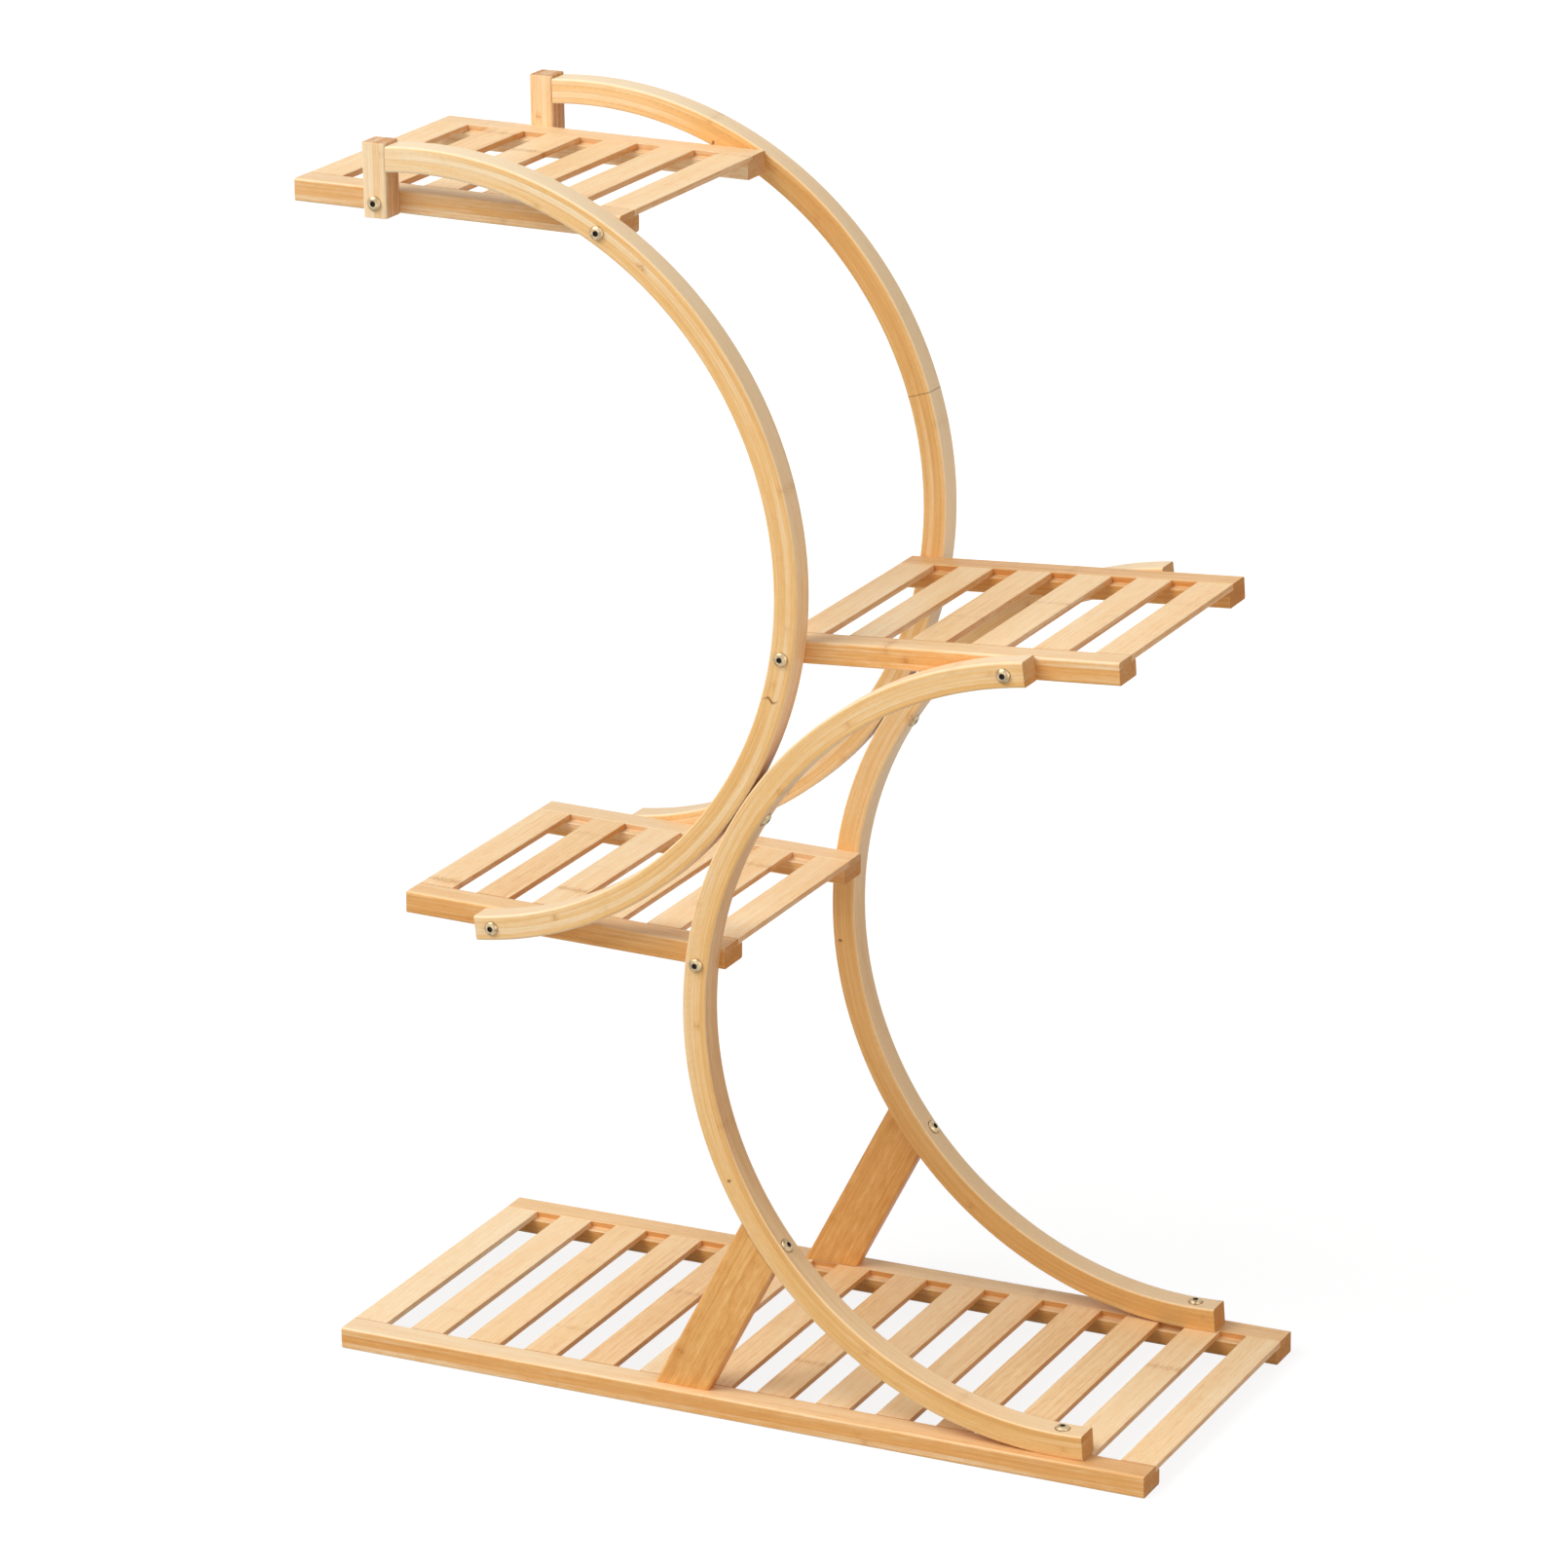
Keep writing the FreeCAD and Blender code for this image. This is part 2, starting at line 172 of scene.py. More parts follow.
def cleared_tree(owner):
    """Turn on the nodes of a material or the world, empty them, and return the tree."""
    owner.use_nodes = True
    owner.node_tree.nodes.clear()
    return owner.node_tree


def add_node(tree, kind, inputs=None, **settings):
    """Add a shader node, apply its settings, and fill its inputs by name or number.

    An input may be a plain value or the output socket of another node, which is linked.
    """
    made = tree.nodes.new("ShaderNode" + kind)
    for name, value in settings.items():
        setattr(made, name, value)
    for key, value in (inputs or {}).items():
        if isinstance(value, bpy.types.NodeSocket):
            tree.links.new(value, made.inputs[key])
        else:
            made.inputs[key].default_value = value
    return made


def wired(tree, kind, inputs=None, output=0, **settings):
    """Add a shader node and return one of its outputs, by name or number."""
    return add_node(tree, kind, inputs, **settings).outputs[output]


def math_node(tree, operation, *numbers):
    """Add a Math node on up to three numbers or sockets, and return its output."""
    return wired(tree, "Math", dict(enumerate(numbers)), operation=operation)


def seen_directly(tree):
    """A mask that is 1 for camera, glossy and transmission rays, and 0 for the rest."""
    rays = add_node(tree, "LightPath").outputs
    either = math_node(tree, "MAXIMUM", rays["Is Camera Ray"], rays["Is Glossy Ray"])
    return math_node(tree, "MAXIMUM", either, rays["Is Transmission Ray"])


# %% World and floor
world_share, floor_size = 0.30, 60.0
floor_bounce, floor_answer = 0.50, 0.20
glow_near, glow_far = 0.86, 1.0
near_edge, far_edge = 0.7, 2.6
white = (1, 1, 1, 1)

world = bpy.data.worlds.new("studio")
tree = cleared_tree(world)
strength = wired(tree, "MapRange", {"Value": seen_directly(tree), "To Min": world_share})
background = wired(tree, "Background", {"Color": white, "Strength": strength})
add_node(tree, "OutputWorld", {"Surface": background})
bpy.context.scene.world = world

floor_material = bpy.data.materials.new("studio_floor")
tree = cleared_tree(floor_material)
floor_place = wired(tree, "TexCoord", output="Object")
from_stand = wired(tree, "VectorMath", {0: floor_place}, "Value", operation="LENGTH")
glow_here = wired(tree, "MapRange", {"Value": from_stand, "From Min": near_edge,
                                     "From Max": far_edge, "To Min": glow_near,
                                     "To Max": glow_far})
glow = wired(tree, "Emission", {"Color": white, "Strength": glow_here})
bounce, answer = (wired(tree, "BsdfDiffuse", {"Color": (grey, grey, grey, 1)})
                  for grey in (floor_bounce, floor_answer))
shown = wired(tree, "AddShader", {0: glow, 1: answer})
chosen = wired(tree, "MixShader", {0: seen_directly(tree), 1: bounce, 2: shown})
add_node(tree, "OutputMaterial", {"Surface": chosen})

reach = floor_size / 2
floor_corners = [(-reach, -reach, 0), (reach, -reach, 0), (reach, reach, 0), (-reach, reach, 0)]
floor_mesh = bpy.data.meshes.new("studio_floor")
floor_mesh.from_pydata(floor_corners, [], [(0, 1, 2, 3)])
floor_mesh.materials.append(floor_material)
floor = add_object("studio_floor", floor_mesh)
print("floor", floor_size, "m wide")

# %% [markdown]
# ## How bamboo looks
# The boards are glued from strips of bamboo. Each strip has its own tone, fine darker fibres
# that run along it, and every quarter metre or so a knuckle, where the cane had a joint: a short
# band of darker, crossing fibre. Thin glue lines part the strips, and a sawn end shows the
# fibres as dots on a browner ground. All of that is one node group. It reads where a point lies
# in its own board, as distances along, across and through the wood, so the figure bends with a
# bent bar, and it gives out a colour, a roughness and a height.
# The group also paints light: flat faces are paled or darkened by a painted light and shade, eased
# edges get a painted highlight, and the faces in a rail's step a painted shade.

# %% The bamboo group: its sockets
figure = bpy.data.node_groups.new("bamboo_figure", "ShaderNodeTree")
group_inputs = {
    "Grain": None, "Seed": 0.0, "Tone": 0.0, "Lift": 0.0, "End Grain And Shade": 0.0,
    "Strip Width": 0.006, "Strip Depth": 0.02, "Knuckle Spacing": 0.26, "Strip Contrast": 0.5,
    "Streak Contrast": 0.8, "Flat Face": 1.0, "Marks": None, "Curl": 0.0, "Mottle": 0.2,
    "Face Color": (0.95, 0.68, 0.40, 1), "Edge Color": (0.88, 0.47, 0.16, 1),
}
socket_kinds = {type(None): "NodeSocketVector", float: "NodeSocketFloat", tuple: "NodeSocketColor"}
for name, value in group_inputs.items():
    made = figure.interface.new_socket(name=name, in_out="INPUT",
                                       socket_type=socket_kinds[type(value)])
    if value is not None:
        made.default_value = value
for name, kind in [("Color", tuple), ("Roughness", float), ("Height", float)]:
    figure.interface.new_socket(name=name, in_out="OUTPUT", socket_type=socket_kinds[kind])
given = figure.nodes.new("NodeGroupInput").outputs
plus, minus, times, over, times_plus, size_of, floor_of = (
    partial(math_node, figure, kind)
    for kind in ("ADD", "SUBTRACT", "MULTIPLY", "DIVIDE", "MULTIPLY_ADD", "ABSOLUTE", "FLOOR"))
print("bamboo group:", len(group_inputs), "inputs")

# %% The bamboo group: strips
inside_share, inside_shift = 0.99, 0.005
own_reach = 3.0
glue_edge = (0.06 * mm, 0.3 * mm)


def faded(tree, value, low, high, smooth=True):
    """1 where value is at or below low, 0 at or above high, with a soft step between."""
    return wired(tree, "MapRange", {"Value": value, "From Min": low, "From Max": high,
                                    "To Min": 1.0, "To Max": 0.0},
                 interpolation_type="SMOOTHSTEP" if smooth else "LINEAR")


place = add_node(figure, "SeparateXYZ", {0: given["Grain"]}).outputs
across_strips, through_strips = (
    times_plus(over(place[axis], given[size]), inside_share, inside_shift)
    for axis, size in ((1, "Strip Width"), (2, "Strip Depth")))
strip = wired(figure, "CombineXYZ",
              {0: floor_of(across_strips), 1: floor_of(through_strips), 2: given["Seed"]})
strip_luck = add_node(figure, "TexWhiteNoise", {"Vector": strip}, noise_dimensions="3D").outputs
own_shift = times(wired(figure, "SeparateXYZ", {0: strip_luck["Color"]}), own_reach)
own_along = plus(place[0], own_shift)
own_vector = wired(figure, "CombineXYZ", {0: own_along, 1: place[1], 2: place[2]})
seed_shift = wired(figure, "CombineXYZ", {1: given["Seed"], 2: own_shift})

glue_away = times(math_node(figure, "PINGPONG", across_strips, 0.5), given["Strip Width"])
glue = faded(figure, glue_away, *glue_edge)

# %% The bamboo group: knuckles
wobble_cycles, knuckle_sway, knuckle_power = (30, 260), 0.014, 1.6
knuckle_reach, knuckle_line_reach = 0.0075, 0.0016


def stretched(along, across):
    """A strip's own grain vector, times so many cycles a metre along and across the fibre."""
    scaled = wired(figure, "VectorMath", {0: own_vector, 1: (along, across, across)},
                   operation="MULTIPLY")
    return wired(figure, "VectorMath", {0: scaled, 1: seed_shift})


def noise(cycles, detail, roughness=0.5):
    """Smooth noise from 0 to 1, at some cycles a metre along and across the fibre."""
    return wired(figure, "TexNoise", {"Vector": stretched(*cycles), "Scale": 1.0,
                                      "Detail": detail, "Roughness": roughness})


knuckle_turns = over(own_along, given["Knuckle Spacing"])
knuckle_away = size_of(minus(math_node(figure, "FRACT", knuckle_turns), 0.5))
knuckle_away = times(knuckle_away, given["Knuckle Spacing"])
knuckle_wave = times_plus(noise(wobble_cycles, 2.0), knuckle_sway, -knuckle_sway / 2)
knuckle_away = size_of(plus(knuckle_away, knuckle_wave))
knuckle_number = wired(figure, "TexWhiteNoise", {"W": floor_of(knuckle_turns), "Vector": strip},
                       "Value", noise_dimensions="4D")
knuckle_strength = math_node(figure, "POWER", knuckle_number, knuckle_power)
knuckle, knuckle_line = (times(faded(figure, knuckle_away, 0.0, far), knuckle_strength)
                         for far in (knuckle_reach, knuckle_line_reach))

# %% The bamboo group: a knot and a seam
knot_squeeze, curl_squeeze, curl_height, curl_waves = 0.7, 0.24, 1.3 * mm, 700.0
knot_edge, seam_edge = (0.5 * mm, 1.9 * mm), (0.2 * mm, 0.6 * mm)
marks = add_node(figure, "SeparateXYZ", {0: given["Marks"]}).outputs
knot_across = minus(place[1], marks[1])
curl_bend = times(math_node(figure, "SINE", times(knot_across, curl_waves)), given["Curl"])
knot_along = times_plus(curl_bend, curl_height, minus(place[0], marks[0]))
squeeze = times_plus(given["Curl"], curl_squeeze - knot_squeeze, knot_squeeze)
knot_offset = wired(figure, "CombineXYZ", {0: knot_along, 1: times(knot_across, squeeze)})
knot_away = wired(figure, "VectorMath", {0: knot_offset}, "Value", operation="LENGTH")
knot = faded(figure, knot_away, *knot_edge)
seam = faded(figure, size_of(minus(place[0], marks[2])), *seam_edge)

# %% The bamboo group: fibres, streaks and clouds
streak_cycles, fibre_cycles, cloud_cycles = (9, 520), (55, 2300), (5, 45)
vessel_cycles, mottle_cycles = (110, 1150), (75, 260)
streak_roughness, vessel_edge = 0.55, (0.10, 0.34)
fibre_contrast, cloud_contrast, eased_edge_highlight = 0.42, 0.5, 0.14
streak_noise = noise(streak_cycles, 3.0, streak_roughness)
fibre_noise = noise(fibre_cycles, 2.0)
vessel_cells = wired(figure, "TexVoronoi", {"Vector": stretched(*vessel_cycles), "Scale": 1.0},
                     "Distance")
vessels = faded(figure, vessel_cells, *vessel_edge)

# the value is 0.5, plus the tone, painted light and shade on the flat faces, a painted highlight on
# the eased edges, and every contrast
value = times_plus(given["Flat Face"], given["Lift"], plus(given["Tone"], 0.5))
# eased edges are paled as a painted highlight, in place of the lacquer's gloss along them
eased = times(given["Flat Face"], minus(1.0, given["Flat Face"]))
value = times_plus(eased, 4 * eased_edge_highlight, value)
for part, contrast in ((strip_luck["Value"], given["Strip Contrast"]),
                       (streak_noise, given["Streak Contrast"]),
                       (fibre_noise, fibre_contrast),
                       (noise(cloud_cycles, 1.0), cloud_contrast),
                       (noise(mottle_cycles, 2.0), given["Mottle"])):
    value = times_plus(minus(part, 0.5), contrast, value)

# %% The bamboo group: colour, roughness and height
streak_brown, cream = (0.82, 0.66, 0.49, 1), (1.0, 0.82, 0.56, 1)
knuckle_brown, end_brown = (0.74, 0.58, 0.42, 1), (0.72, 0.58, 0.46, 1)
vessel_brown, glue_brown = (0.84, 0.74, 0.62, 1), (0.80, 0.68, 0.56, 1)
knot_brown = (0.30, 0.18, 0.10, 1)
dark_from, even_value, cream_at_most = 0.05, 0.5, 0.9
wood_rough, streak_rough, end_rough = 0.52, -0.14, 0.22


def mixed(tree, share, first, second, kind="MIX"):
    """Mix two colours by a share from 0 to 1 and return the colour."""
    return wired(tree, "Mix", {0: share, 6: first, 7: second}, 2, data_type="RGBA",
                 blend_type=kind)


dark_share = faded(figure, value, dark_from, even_value, smooth=False)
light_share = wired(figure, "MapRange", {"Value": value, "From Min": even_value,
                                         "From Max": 1.0, "To Max": cream_at_most})
# flat faces take the face colour and the rest the edge colour: partly the grain's own look, partly
# painted light and shade
colour = mixed(figure, given["Flat Face"], given["Edge Color"], given["Face Color"])
colour = mixed(figure, light_share, colour, cream)
for mask, strength, tint in (
        (dark_share, 1.0, streak_brown), (vessels, 0.45, vessel_brown), (glue, 0.5, glue_brown),
        (knuckle, 0.6, knuckle_brown), (knuckle_line, 0.8, knuckle_brown),
        (knot, 0.85, knot_brown), (seam, 0.7, knot_brown), (given["End Grain And Shade"], 1.0, end_brown)):
    colour = mixed(figure, times(mask, strength), colour, tint, "MULTIPLY")

roughness = times_plus(streak_noise, streak_rough, wood_rough)
roughness = times_plus(given["End Grain And Shade"], end_rough, roughness)
height = times(streak_noise, 0.5)
for mask, rise in ((fibre_noise, 0.5), (vessels, -0.3), (glue, -0.35), (knuckle, 0.45),
                   (knot, -1.0), (seam, -0.6)):
    height = times_plus(mask, rise, height)
group_output = figure.nodes.new("NodeGroupOutput").inputs
for name, socket in (("Color", colour), ("Roughness", roughness), ("Height", height)):
    figure.links.new(socket, group_output[name])
print("bamboo group:", len(figure.nodes), "nodes")

# %% [markdown]
# ## The finishes
# One group serves every board, placed with its own values: broad flat-cut strips in the slats,
# stacked strips in the rails, thin layers in the bent bars, and narrow upright strips in the
# posts. A clear satin lacquer lies over all of them. It shows as a soft, weak gloss, which the
# shader's own roughness and specular level give. The bolts are plated steel with a warm cast, and
# the sleeves that they screw into are grey zinc.

# %% Bamboo materials
wood_bump, wood_relief, wood_specular = 0.35, 0.12 * mm, 0.22
# The face colours go on a board's flat faces, the edge colours on the rest. They are partly the
# bamboo's own flat and edge grain and partly painted light and shade: flat faces paler, the others
# deeper. The posts' edge colour is darker still, as painted shade from the arcs on the posts'
# sides.
face_pale, face_arc = (0.94, 0.63, 0.325, 1), (0.98, 0.72, 0.43, 1)
edge_honey, edge_arc = (0.85, 0.445, 0.145, 1), (0.91, 0.545, 0.205, 1)
edge_brown, post_edge_and_shade = (0.80, 0.38, 0.115, 1), (0.66, 0.30, 0.09, 1)
brace_face = (0.92, 0.52, 0.18, 1)
stored_vectors = ("Grain", "Marks")
stored_numbers = ("Seed", "Tone", "Lift", "End Grain And Shade", "Flat Face", "Curl")


def shade(tree, inputs, height, bump, relief):
    """Close a material with a Principled shader and a bump of so many metres of relief."""
    normal = wired(tree, "Bump", {"Strength": bump, "Distance": relief, "Height": height})
    shader = wired(tree, "BsdfPrincipled", {**inputs, "Normal": normal})
    add_node(tree, "OutputMaterial", {"Surface": shader})


def bamboo(name, settings):
    """A satin bamboo material: the group with its own settings, fed by the piece's attributes."""
    material = bpy.data.materials.new(name)
    tree = cleared_tree(material)
    inputs = dict(zip(("Strip Width", "Strip Depth", "Knuckle Spacing", "Strip Contrast",
                       "Streak Contrast", "Mottle", "Face Color", "Edge Color"), settings))
    for key in stored_vectors + stored_numbers:
        inputs[key] = wired(tree, "Attribute", output="Vector" if key in stored_vectors else "Fac",
                            attribute_name=key.lower().replace(" ", "_"))
    wood = add_node(tree, "Group", inputs, node_tree=figure).outputs
    shade(tree, {"Base Color": wood["Color"], "Roughness": wood["Roughness"],
                 "Specular IOR Level": wood_specular}, wood["Height"], wood_bump, wood_relief)
    return material


# strip width and depth, knuckle spacing, contrast of strips and streaks, mottle, two colours
woods = {
    "bamboo_slats": (slat_width, slat_thickness, 0.24, 0.25, 0.9, 0.45, face_pale, edge_brown),
    "bamboo_rails": (rail_height / 3, rail_width, 0.27, 0.36, 0.95, 0.3, face_pale, edge_honey),
    "bamboo_arcs": (arc_thickness / 4, arc_depth, 0.31, 0.32, 0.8, 0.2, face_arc, edge_arc),
    "bamboo_posts": (post_width / 4, arc_depth, 0.30, 0.35, 0.9, 0.2, face_pale, post_edge_and_shade),
    "bamboo_braces": (brace_width / 4, brace_thickness, 0.30, 0.2, 0.9, 0.8, brace_face,
                      edge_brown),
    "dowel_wood": (3 * mm, 3 * mm, 0.4, 0.2, 0.5, 0.2, face_pale, face_pale),
}
finishes = {name: bamboo(name, settings) for name, settings in woods.items()}
print("wood finishes:", sorted(finishes))

# %% Metal materials
mark_scale, blotch_scale, blotch_edge = 1400.0, 260.0, (0.35, 0.65)
# the socket's recess is painted near black and duller, as shade
socket_painted_shade, mark_rough, socket_shade_rough, socket_shade_metal = (0.035, 0.03, 0.025, 1), 0.16, 0.3, -0.6
metal_bump, metal_relief = 0.12, 0.03 * mm


def plated(name, colour, dull, roughness):
    """A plated metal with faint polishing marks; the recess of a socket is painted dark as shade,
    and duller.
    """
    material = bpy.data.materials.new(name)
    tree = cleared_tree(material)
    place = wired(tree, "TexCoord", output="Object")
    marks, blotches = (wired(tree, "TexNoise", {"Vector": place, "Scale": scale, "Detail": detail})
                       for scale, detail in ((mark_scale, 3.0), (blotch_scale, 2.0)))
    recess = wired(tree, "Attribute", output="Fac", attribute_name="recess")
    tinted = mixed(tree, faded(tree, blotches, *blotch_edge), colour, dull)
    rough = math_node(tree, "MULTIPLY_ADD", marks, mark_rough, roughness)
    inputs = {"Base Color": mixed(tree, recess, tinted, socket_painted_shade),
              "Metallic": math_node(tree, "MULTIPLY_ADD", recess, socket_shade_metal, 1.0),
              "Roughness": math_node(tree, "MULTIPLY_ADD", recess, socket_shade_rough, rough)}
    shade(tree, inputs, marks, metal_bump, metal_relief)
    return material


for name, colour, dull, rough in (
        ("bolt_steel", (0.60, 0.465, 0.28, 1), (0.36, 0.27, 0.165, 1), 0.36),
        ("insert_zinc", (0.50, 0.49, 0.45, 1), (0.40, 0.39, 0.36, 1), 0.38)):
    finishes[name] = plated(name, colour, dull, rough)
slots = {name: name for name in finishes}
slots["bamboo_posts"] = slots["bamboo_braces"] = "bamboo_posts_and_braces"
print("slots:", sorted(set(slots.values())))

# %% [markdown]
# ## Bars
# Almost every piece is a bar: an outline carried along the fibre. The outline is a polygon with
# round corners. A bar is first thought of in its own board, as along, across and through, and a
# placing function then lays, leans or bends it into the stand. A pair of extra points beside
# each round corner keeps the flat sides flat in the light.

# %% Outlines with round corners
corner_steps = 5
holding_gap = 0.35 * mm


def rounded_outline(corners, radii, side_steps=1):
    """A closed outline with round corners, and its outward normals.

    At each corner the two sides stop short by radius / tan(half the corner's angle), and an arc
    of that radius, tangent to both, joins them. Corners run anticlockwise. One more point lies on
    each side of every arc, and long sides may be divided into more steps.
    """
    corners, radii = np.array(corners, float), np.array(radii, float)
    back = np.roll(corners, 1, 0) - corners
    ahead = np.roll(corners, -1, 0) - corners
    back /= np.linalg.norm(back, axis=1, keepdims=True)
    ahead /= np.linalg.norm(ahead, axis=1, keepdims=True)
    half = np.arccos(np.clip((back * ahead).sum(1), -1, 1)) / 2
    bend = np.sign(back[:, 1] * ahead[:, 0] - back[:, 0] * ahead[:, 1])
    middle = (back + ahead) / np.linalg.norm(back + ahead, axis=1, keepdims=True)
    centres = corners + middle * (radii / np.sin(half))[:, None]
    x, y = (corners + back * (radii / np.tan(half))[:, None] - centres).T[:, :, None]
    sweep = bend * (math.pi - 2 * half)
    turns = sweep[:, None] * np.linspace(0, 1, corner_steps + 1)
    cos, sin = np.cos(turns), np.sin(turns)
    spokes = np.stack([cos * x - sin * y, sin * x + cos * y], -1)
    points = centres[:, None] + spokes
    normals = spokes / radii[:, None, None] * bend[:, None, None]
    points = np.concatenate([points[:, :1] + back[:, None] * holding_gap, points,
                             points[:, -1:] + ahead[:, None] * holding_gap], 1)
    normals = np.concatenate([normals[:, :1], normals, normals[:, -1:]], 1)
    if side_steps > 1:
        shares = np.linspace(0, 1, side_steps + 1)[1:-1]
        following = np.roll(points, -1, 0)[:, :1]
        between = points[:, -1:] + (following - points[:, -1:]) * shares[None, :, None]
        points = np.concatenate([points, between], 1)
        normals = np.concatenate([normals, np.repeat(normals[:, -1:], len(shares), 1)], 1)
    return points.reshape(-1, 2), normals.reshape(-1, 2)


def rectangle(width, depth, radius=long_edge_round, side_steps=1):
    """The outline of a plain bar, width across and depth through, with its long edges round."""
    return rounded_outline([(0, 0), (width, 0), (width, depth), (0, depth)], [radius] * 4,
                           side_steps)


print("a rounded rectangle has", len(rectangle(slat_width, slat_width)[0]), "points")

# %% Bars from outlines
ease_rings, straight_steps = 4, 2


def faces_between(rings, count):
    """The four-cornered faces between rings of so many points, each ring closed on itself."""
    index = np.arange(rings * count).reshape(rings, count)
    beside = np.roll(index, -1, 1)
    return np.stack([index[:-1], beside[:-1], beside[1:], index[1:]], -1).reshape(-1, 4)


def bar(outline, start, end, steps, ease=saw_edge_ease, paired=True):
    """The grid of a closed bar in its own board, and its faces.

    The start and the end are numbers where the bar is sawn square. Else a fibre at (across,
    through) runs from start(across) to end(across), so an end may be slanted or coped. Near each
    end the outline draws in by ease * (1 - sin t) while the fibre advances by ease * (1 - cos t),
    which rounds the sawn edge. Returns points (along, across, through).
    """
    outline, normals = outline
    quarter = np.linspace(0, quarter_turn, ease_rings)
    advance = np.concatenate([[0], ease * (1 - np.cos(quarter)), [ease + holding_gap]])
    draw_in = np.concatenate([[ease + holding_gap], ease * (1 - np.sin(quarter)), [0]])
    shares = np.linspace(0, 1, steps + 1)[1:-1]
    share = np.concatenate([np.zeros(len(advance)), shares, np.ones(len(advance))])[:, None]
    shift = np.concatenate([advance, np.zeros(len(shares)), -advance[::-1]])[:, None]
    inset = np.concatenate([draw_in, np.zeros(len(shares)), draw_in[::-1]])
    flat = outline[None] - inset[:, None, None] * normals[None]
    across, through = flat[..., 0], flat[..., 1]
    start, end = (at(across) if callable(at) else at for at in (start, end))
    along = start * (1 - share) + end * share + shift + 0 * across
    points = np.stack([along, across, through], -1).reshape(-1, 3)
    count, last = len(outline), len(points) - len(outline)
    faces = faces_between(len(share), count).tolist()
    if paired:
        low = np.arange(count // 2 - 1)
        rungs = np.stack([low, low + 1, count - 2 - low, count - 1 - low], 1)
        faces += rungs[:, ::-1].tolist() + (rungs + last).tolist()
    else:
        faces += [list(range(count))[::-1], list(range(last, last + count))]
    return points, faces


# %% [markdown]
# ## From points to a finished piece
# A piece is made in steps that follow the workshop: place the bar, drill it, check which way its
# faces look, soften the shading between faces that nearly agree, and mark the board's own
# directions on it so that the grain can follow. Drilling is a real cut, made with a Boolean
# modifier that is then applied, so the holes are in the mesh.

# %% Drills
drill_sides, nearly_upright = 48, 0.9


def spokes_round(direction, sides):
    """Unit vectors square to a direction, and their angles: cos * side + sin * other.

    Side and other are square to the direction and to each other, right-handed with it.
    """
    helper = np.array([1, 0, 0] if abs(direction[2]) >= nearly_upright else [0, 0, 1])
    side = np.cross(helper, direction)
    side /= np.linalg.norm(side)
    angle = np.linspace(0, full_turn, sides, endpoint=False)
    other = np.cross(direction, side)
    return np.cos(angle)[:, None] * side + np.sin(angle)[:, None] * other, angle


def turned(rings, sides, seat, direction):
    """The points and faces of a turned form, closed at both poles.

    A ring is a radius, one for all angles or one for each, and a height. Its points lie at
    seat + height * direction + radius * spoke. The first and last rings close onto the axis.
    """
    radius = np.array([np.broadcast_to(ring[0], sides) for ring in rings])
    level = seat + np.array([ring[1] for ring in rings])[:, None] * np.array(direction)
    points = level[:, None] + radius[..., None] * spokes_round(direction, sides)[0]
    points = np.concatenate([points.reshape(-1, 3), level[[0, -1]]])
    ring, pole = np.arange(sides), np.full(sides, len(rings) * sides)
    beside, last = np.roll(ring, -1), (len(rings) - 1) * sides
    faces = np.concatenate([np.stack([beside, ring, pole], 1),
                            np.stack([ring + last, beside + last, pole + 1], 1)])
    return points, faces_between(len(rings), sides).tolist() + faces.tolist()


def drill(start, direction, steps):
    """A stepped drill: pairs of (radius, depth reached), all from one start point."""
    rings, depth = [], 0.0
    for radius, reached in steps:
        rings += [(radius, depth), (radius, reached)]
        depth = reached
    return turned(rings, drill_sides, start, direction)


# %% Meshes and pieces
smooth_up_to = degrees(32)
sides = {"front": np.array([1, 1, 1]), "rear": np.array([1, -1, 1])}
made_pieces = {}


def joined(parts):
    """Several (points, faces) pairs as one."""
    points, faces, count = [], [], 0
    for part_points, part_faces in parts:
        points.append(part_points)
        faces += [[corner + count for corner in face] for face in part_faces]
        count += len(part_points)
    return np.concatenate(points), faces


def new_mesh(name, points, faces):
    """A mesh from points and faces, turned right side out if its volume comes out negative."""
    mesh = bpy.data.meshes.new(name)
    mesh.from_pydata(points.tolist(), [], faces)
    mesh.update()
    mesh.calc_loop_triangles()
    corners = np.zeros(len(mesh.loop_triangles) * 3, np.int32)
    mesh.loop_triangles.foreach_get("vertices", corners)
    a, b, c = (points[corners[k::3]] for k in range(3))
    if (a * np.cross(b, c)).sum() < 0:
        mesh.flip_normals()
    return mesh


def cut(target, drills):
    """Cut drills out of an object's mesh with an exact Boolean, and keep the result."""
    tool = add_object("drills", new_mesh("drills", *joined(drills)))
    boolean = target.modifiers.new("drilled", "BOOLEAN")
    boolean.operation, boolean.solver, boolean.object = "DIFFERENCE", "EXACT", tool
    graph = bpy.context.evaluated_depsgraph_get()
    result = bpy.data.meshes.new_from_object(target.evaluated_get(graph))
    target.modifiers.clear()
    old, target.data = target.data, result
    bpy.data.meshes.remove(old)
    bpy.data.objects.remove(tool)


def finish_piece(node, points, faces, finish, drills=(), flip=sides["front"]):
    """Make the piece that stands for a node: drill it, smooth it, dress it, put it on its body.

    The flip is a side's: 1 keeps and -1 turns round each of x, y and z.
    """
    piece = add_object(node + "_finished", new_mesh(node, points * flip, faces))
    if drills:
        cut(piece, [(drill_points * flip, drill_faces) for drill_points, drill_faces in drills])
    mesh = piece.data
    mesh.name = node + "_finished"
    mesh.shade_smooth()
    mesh.set_sharp_from_angle(angle=smooth_up_to)
    mesh.materials.clear()
    mesh.materials.append(finishes[finish])
    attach(piece, "root")
    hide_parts(node)
    made_pieces[node] = piece
    return piece


# %% Marks for the grain
random = np.random.default_rng(7)
nowhere = (-9.0, -9.0, -9.0)
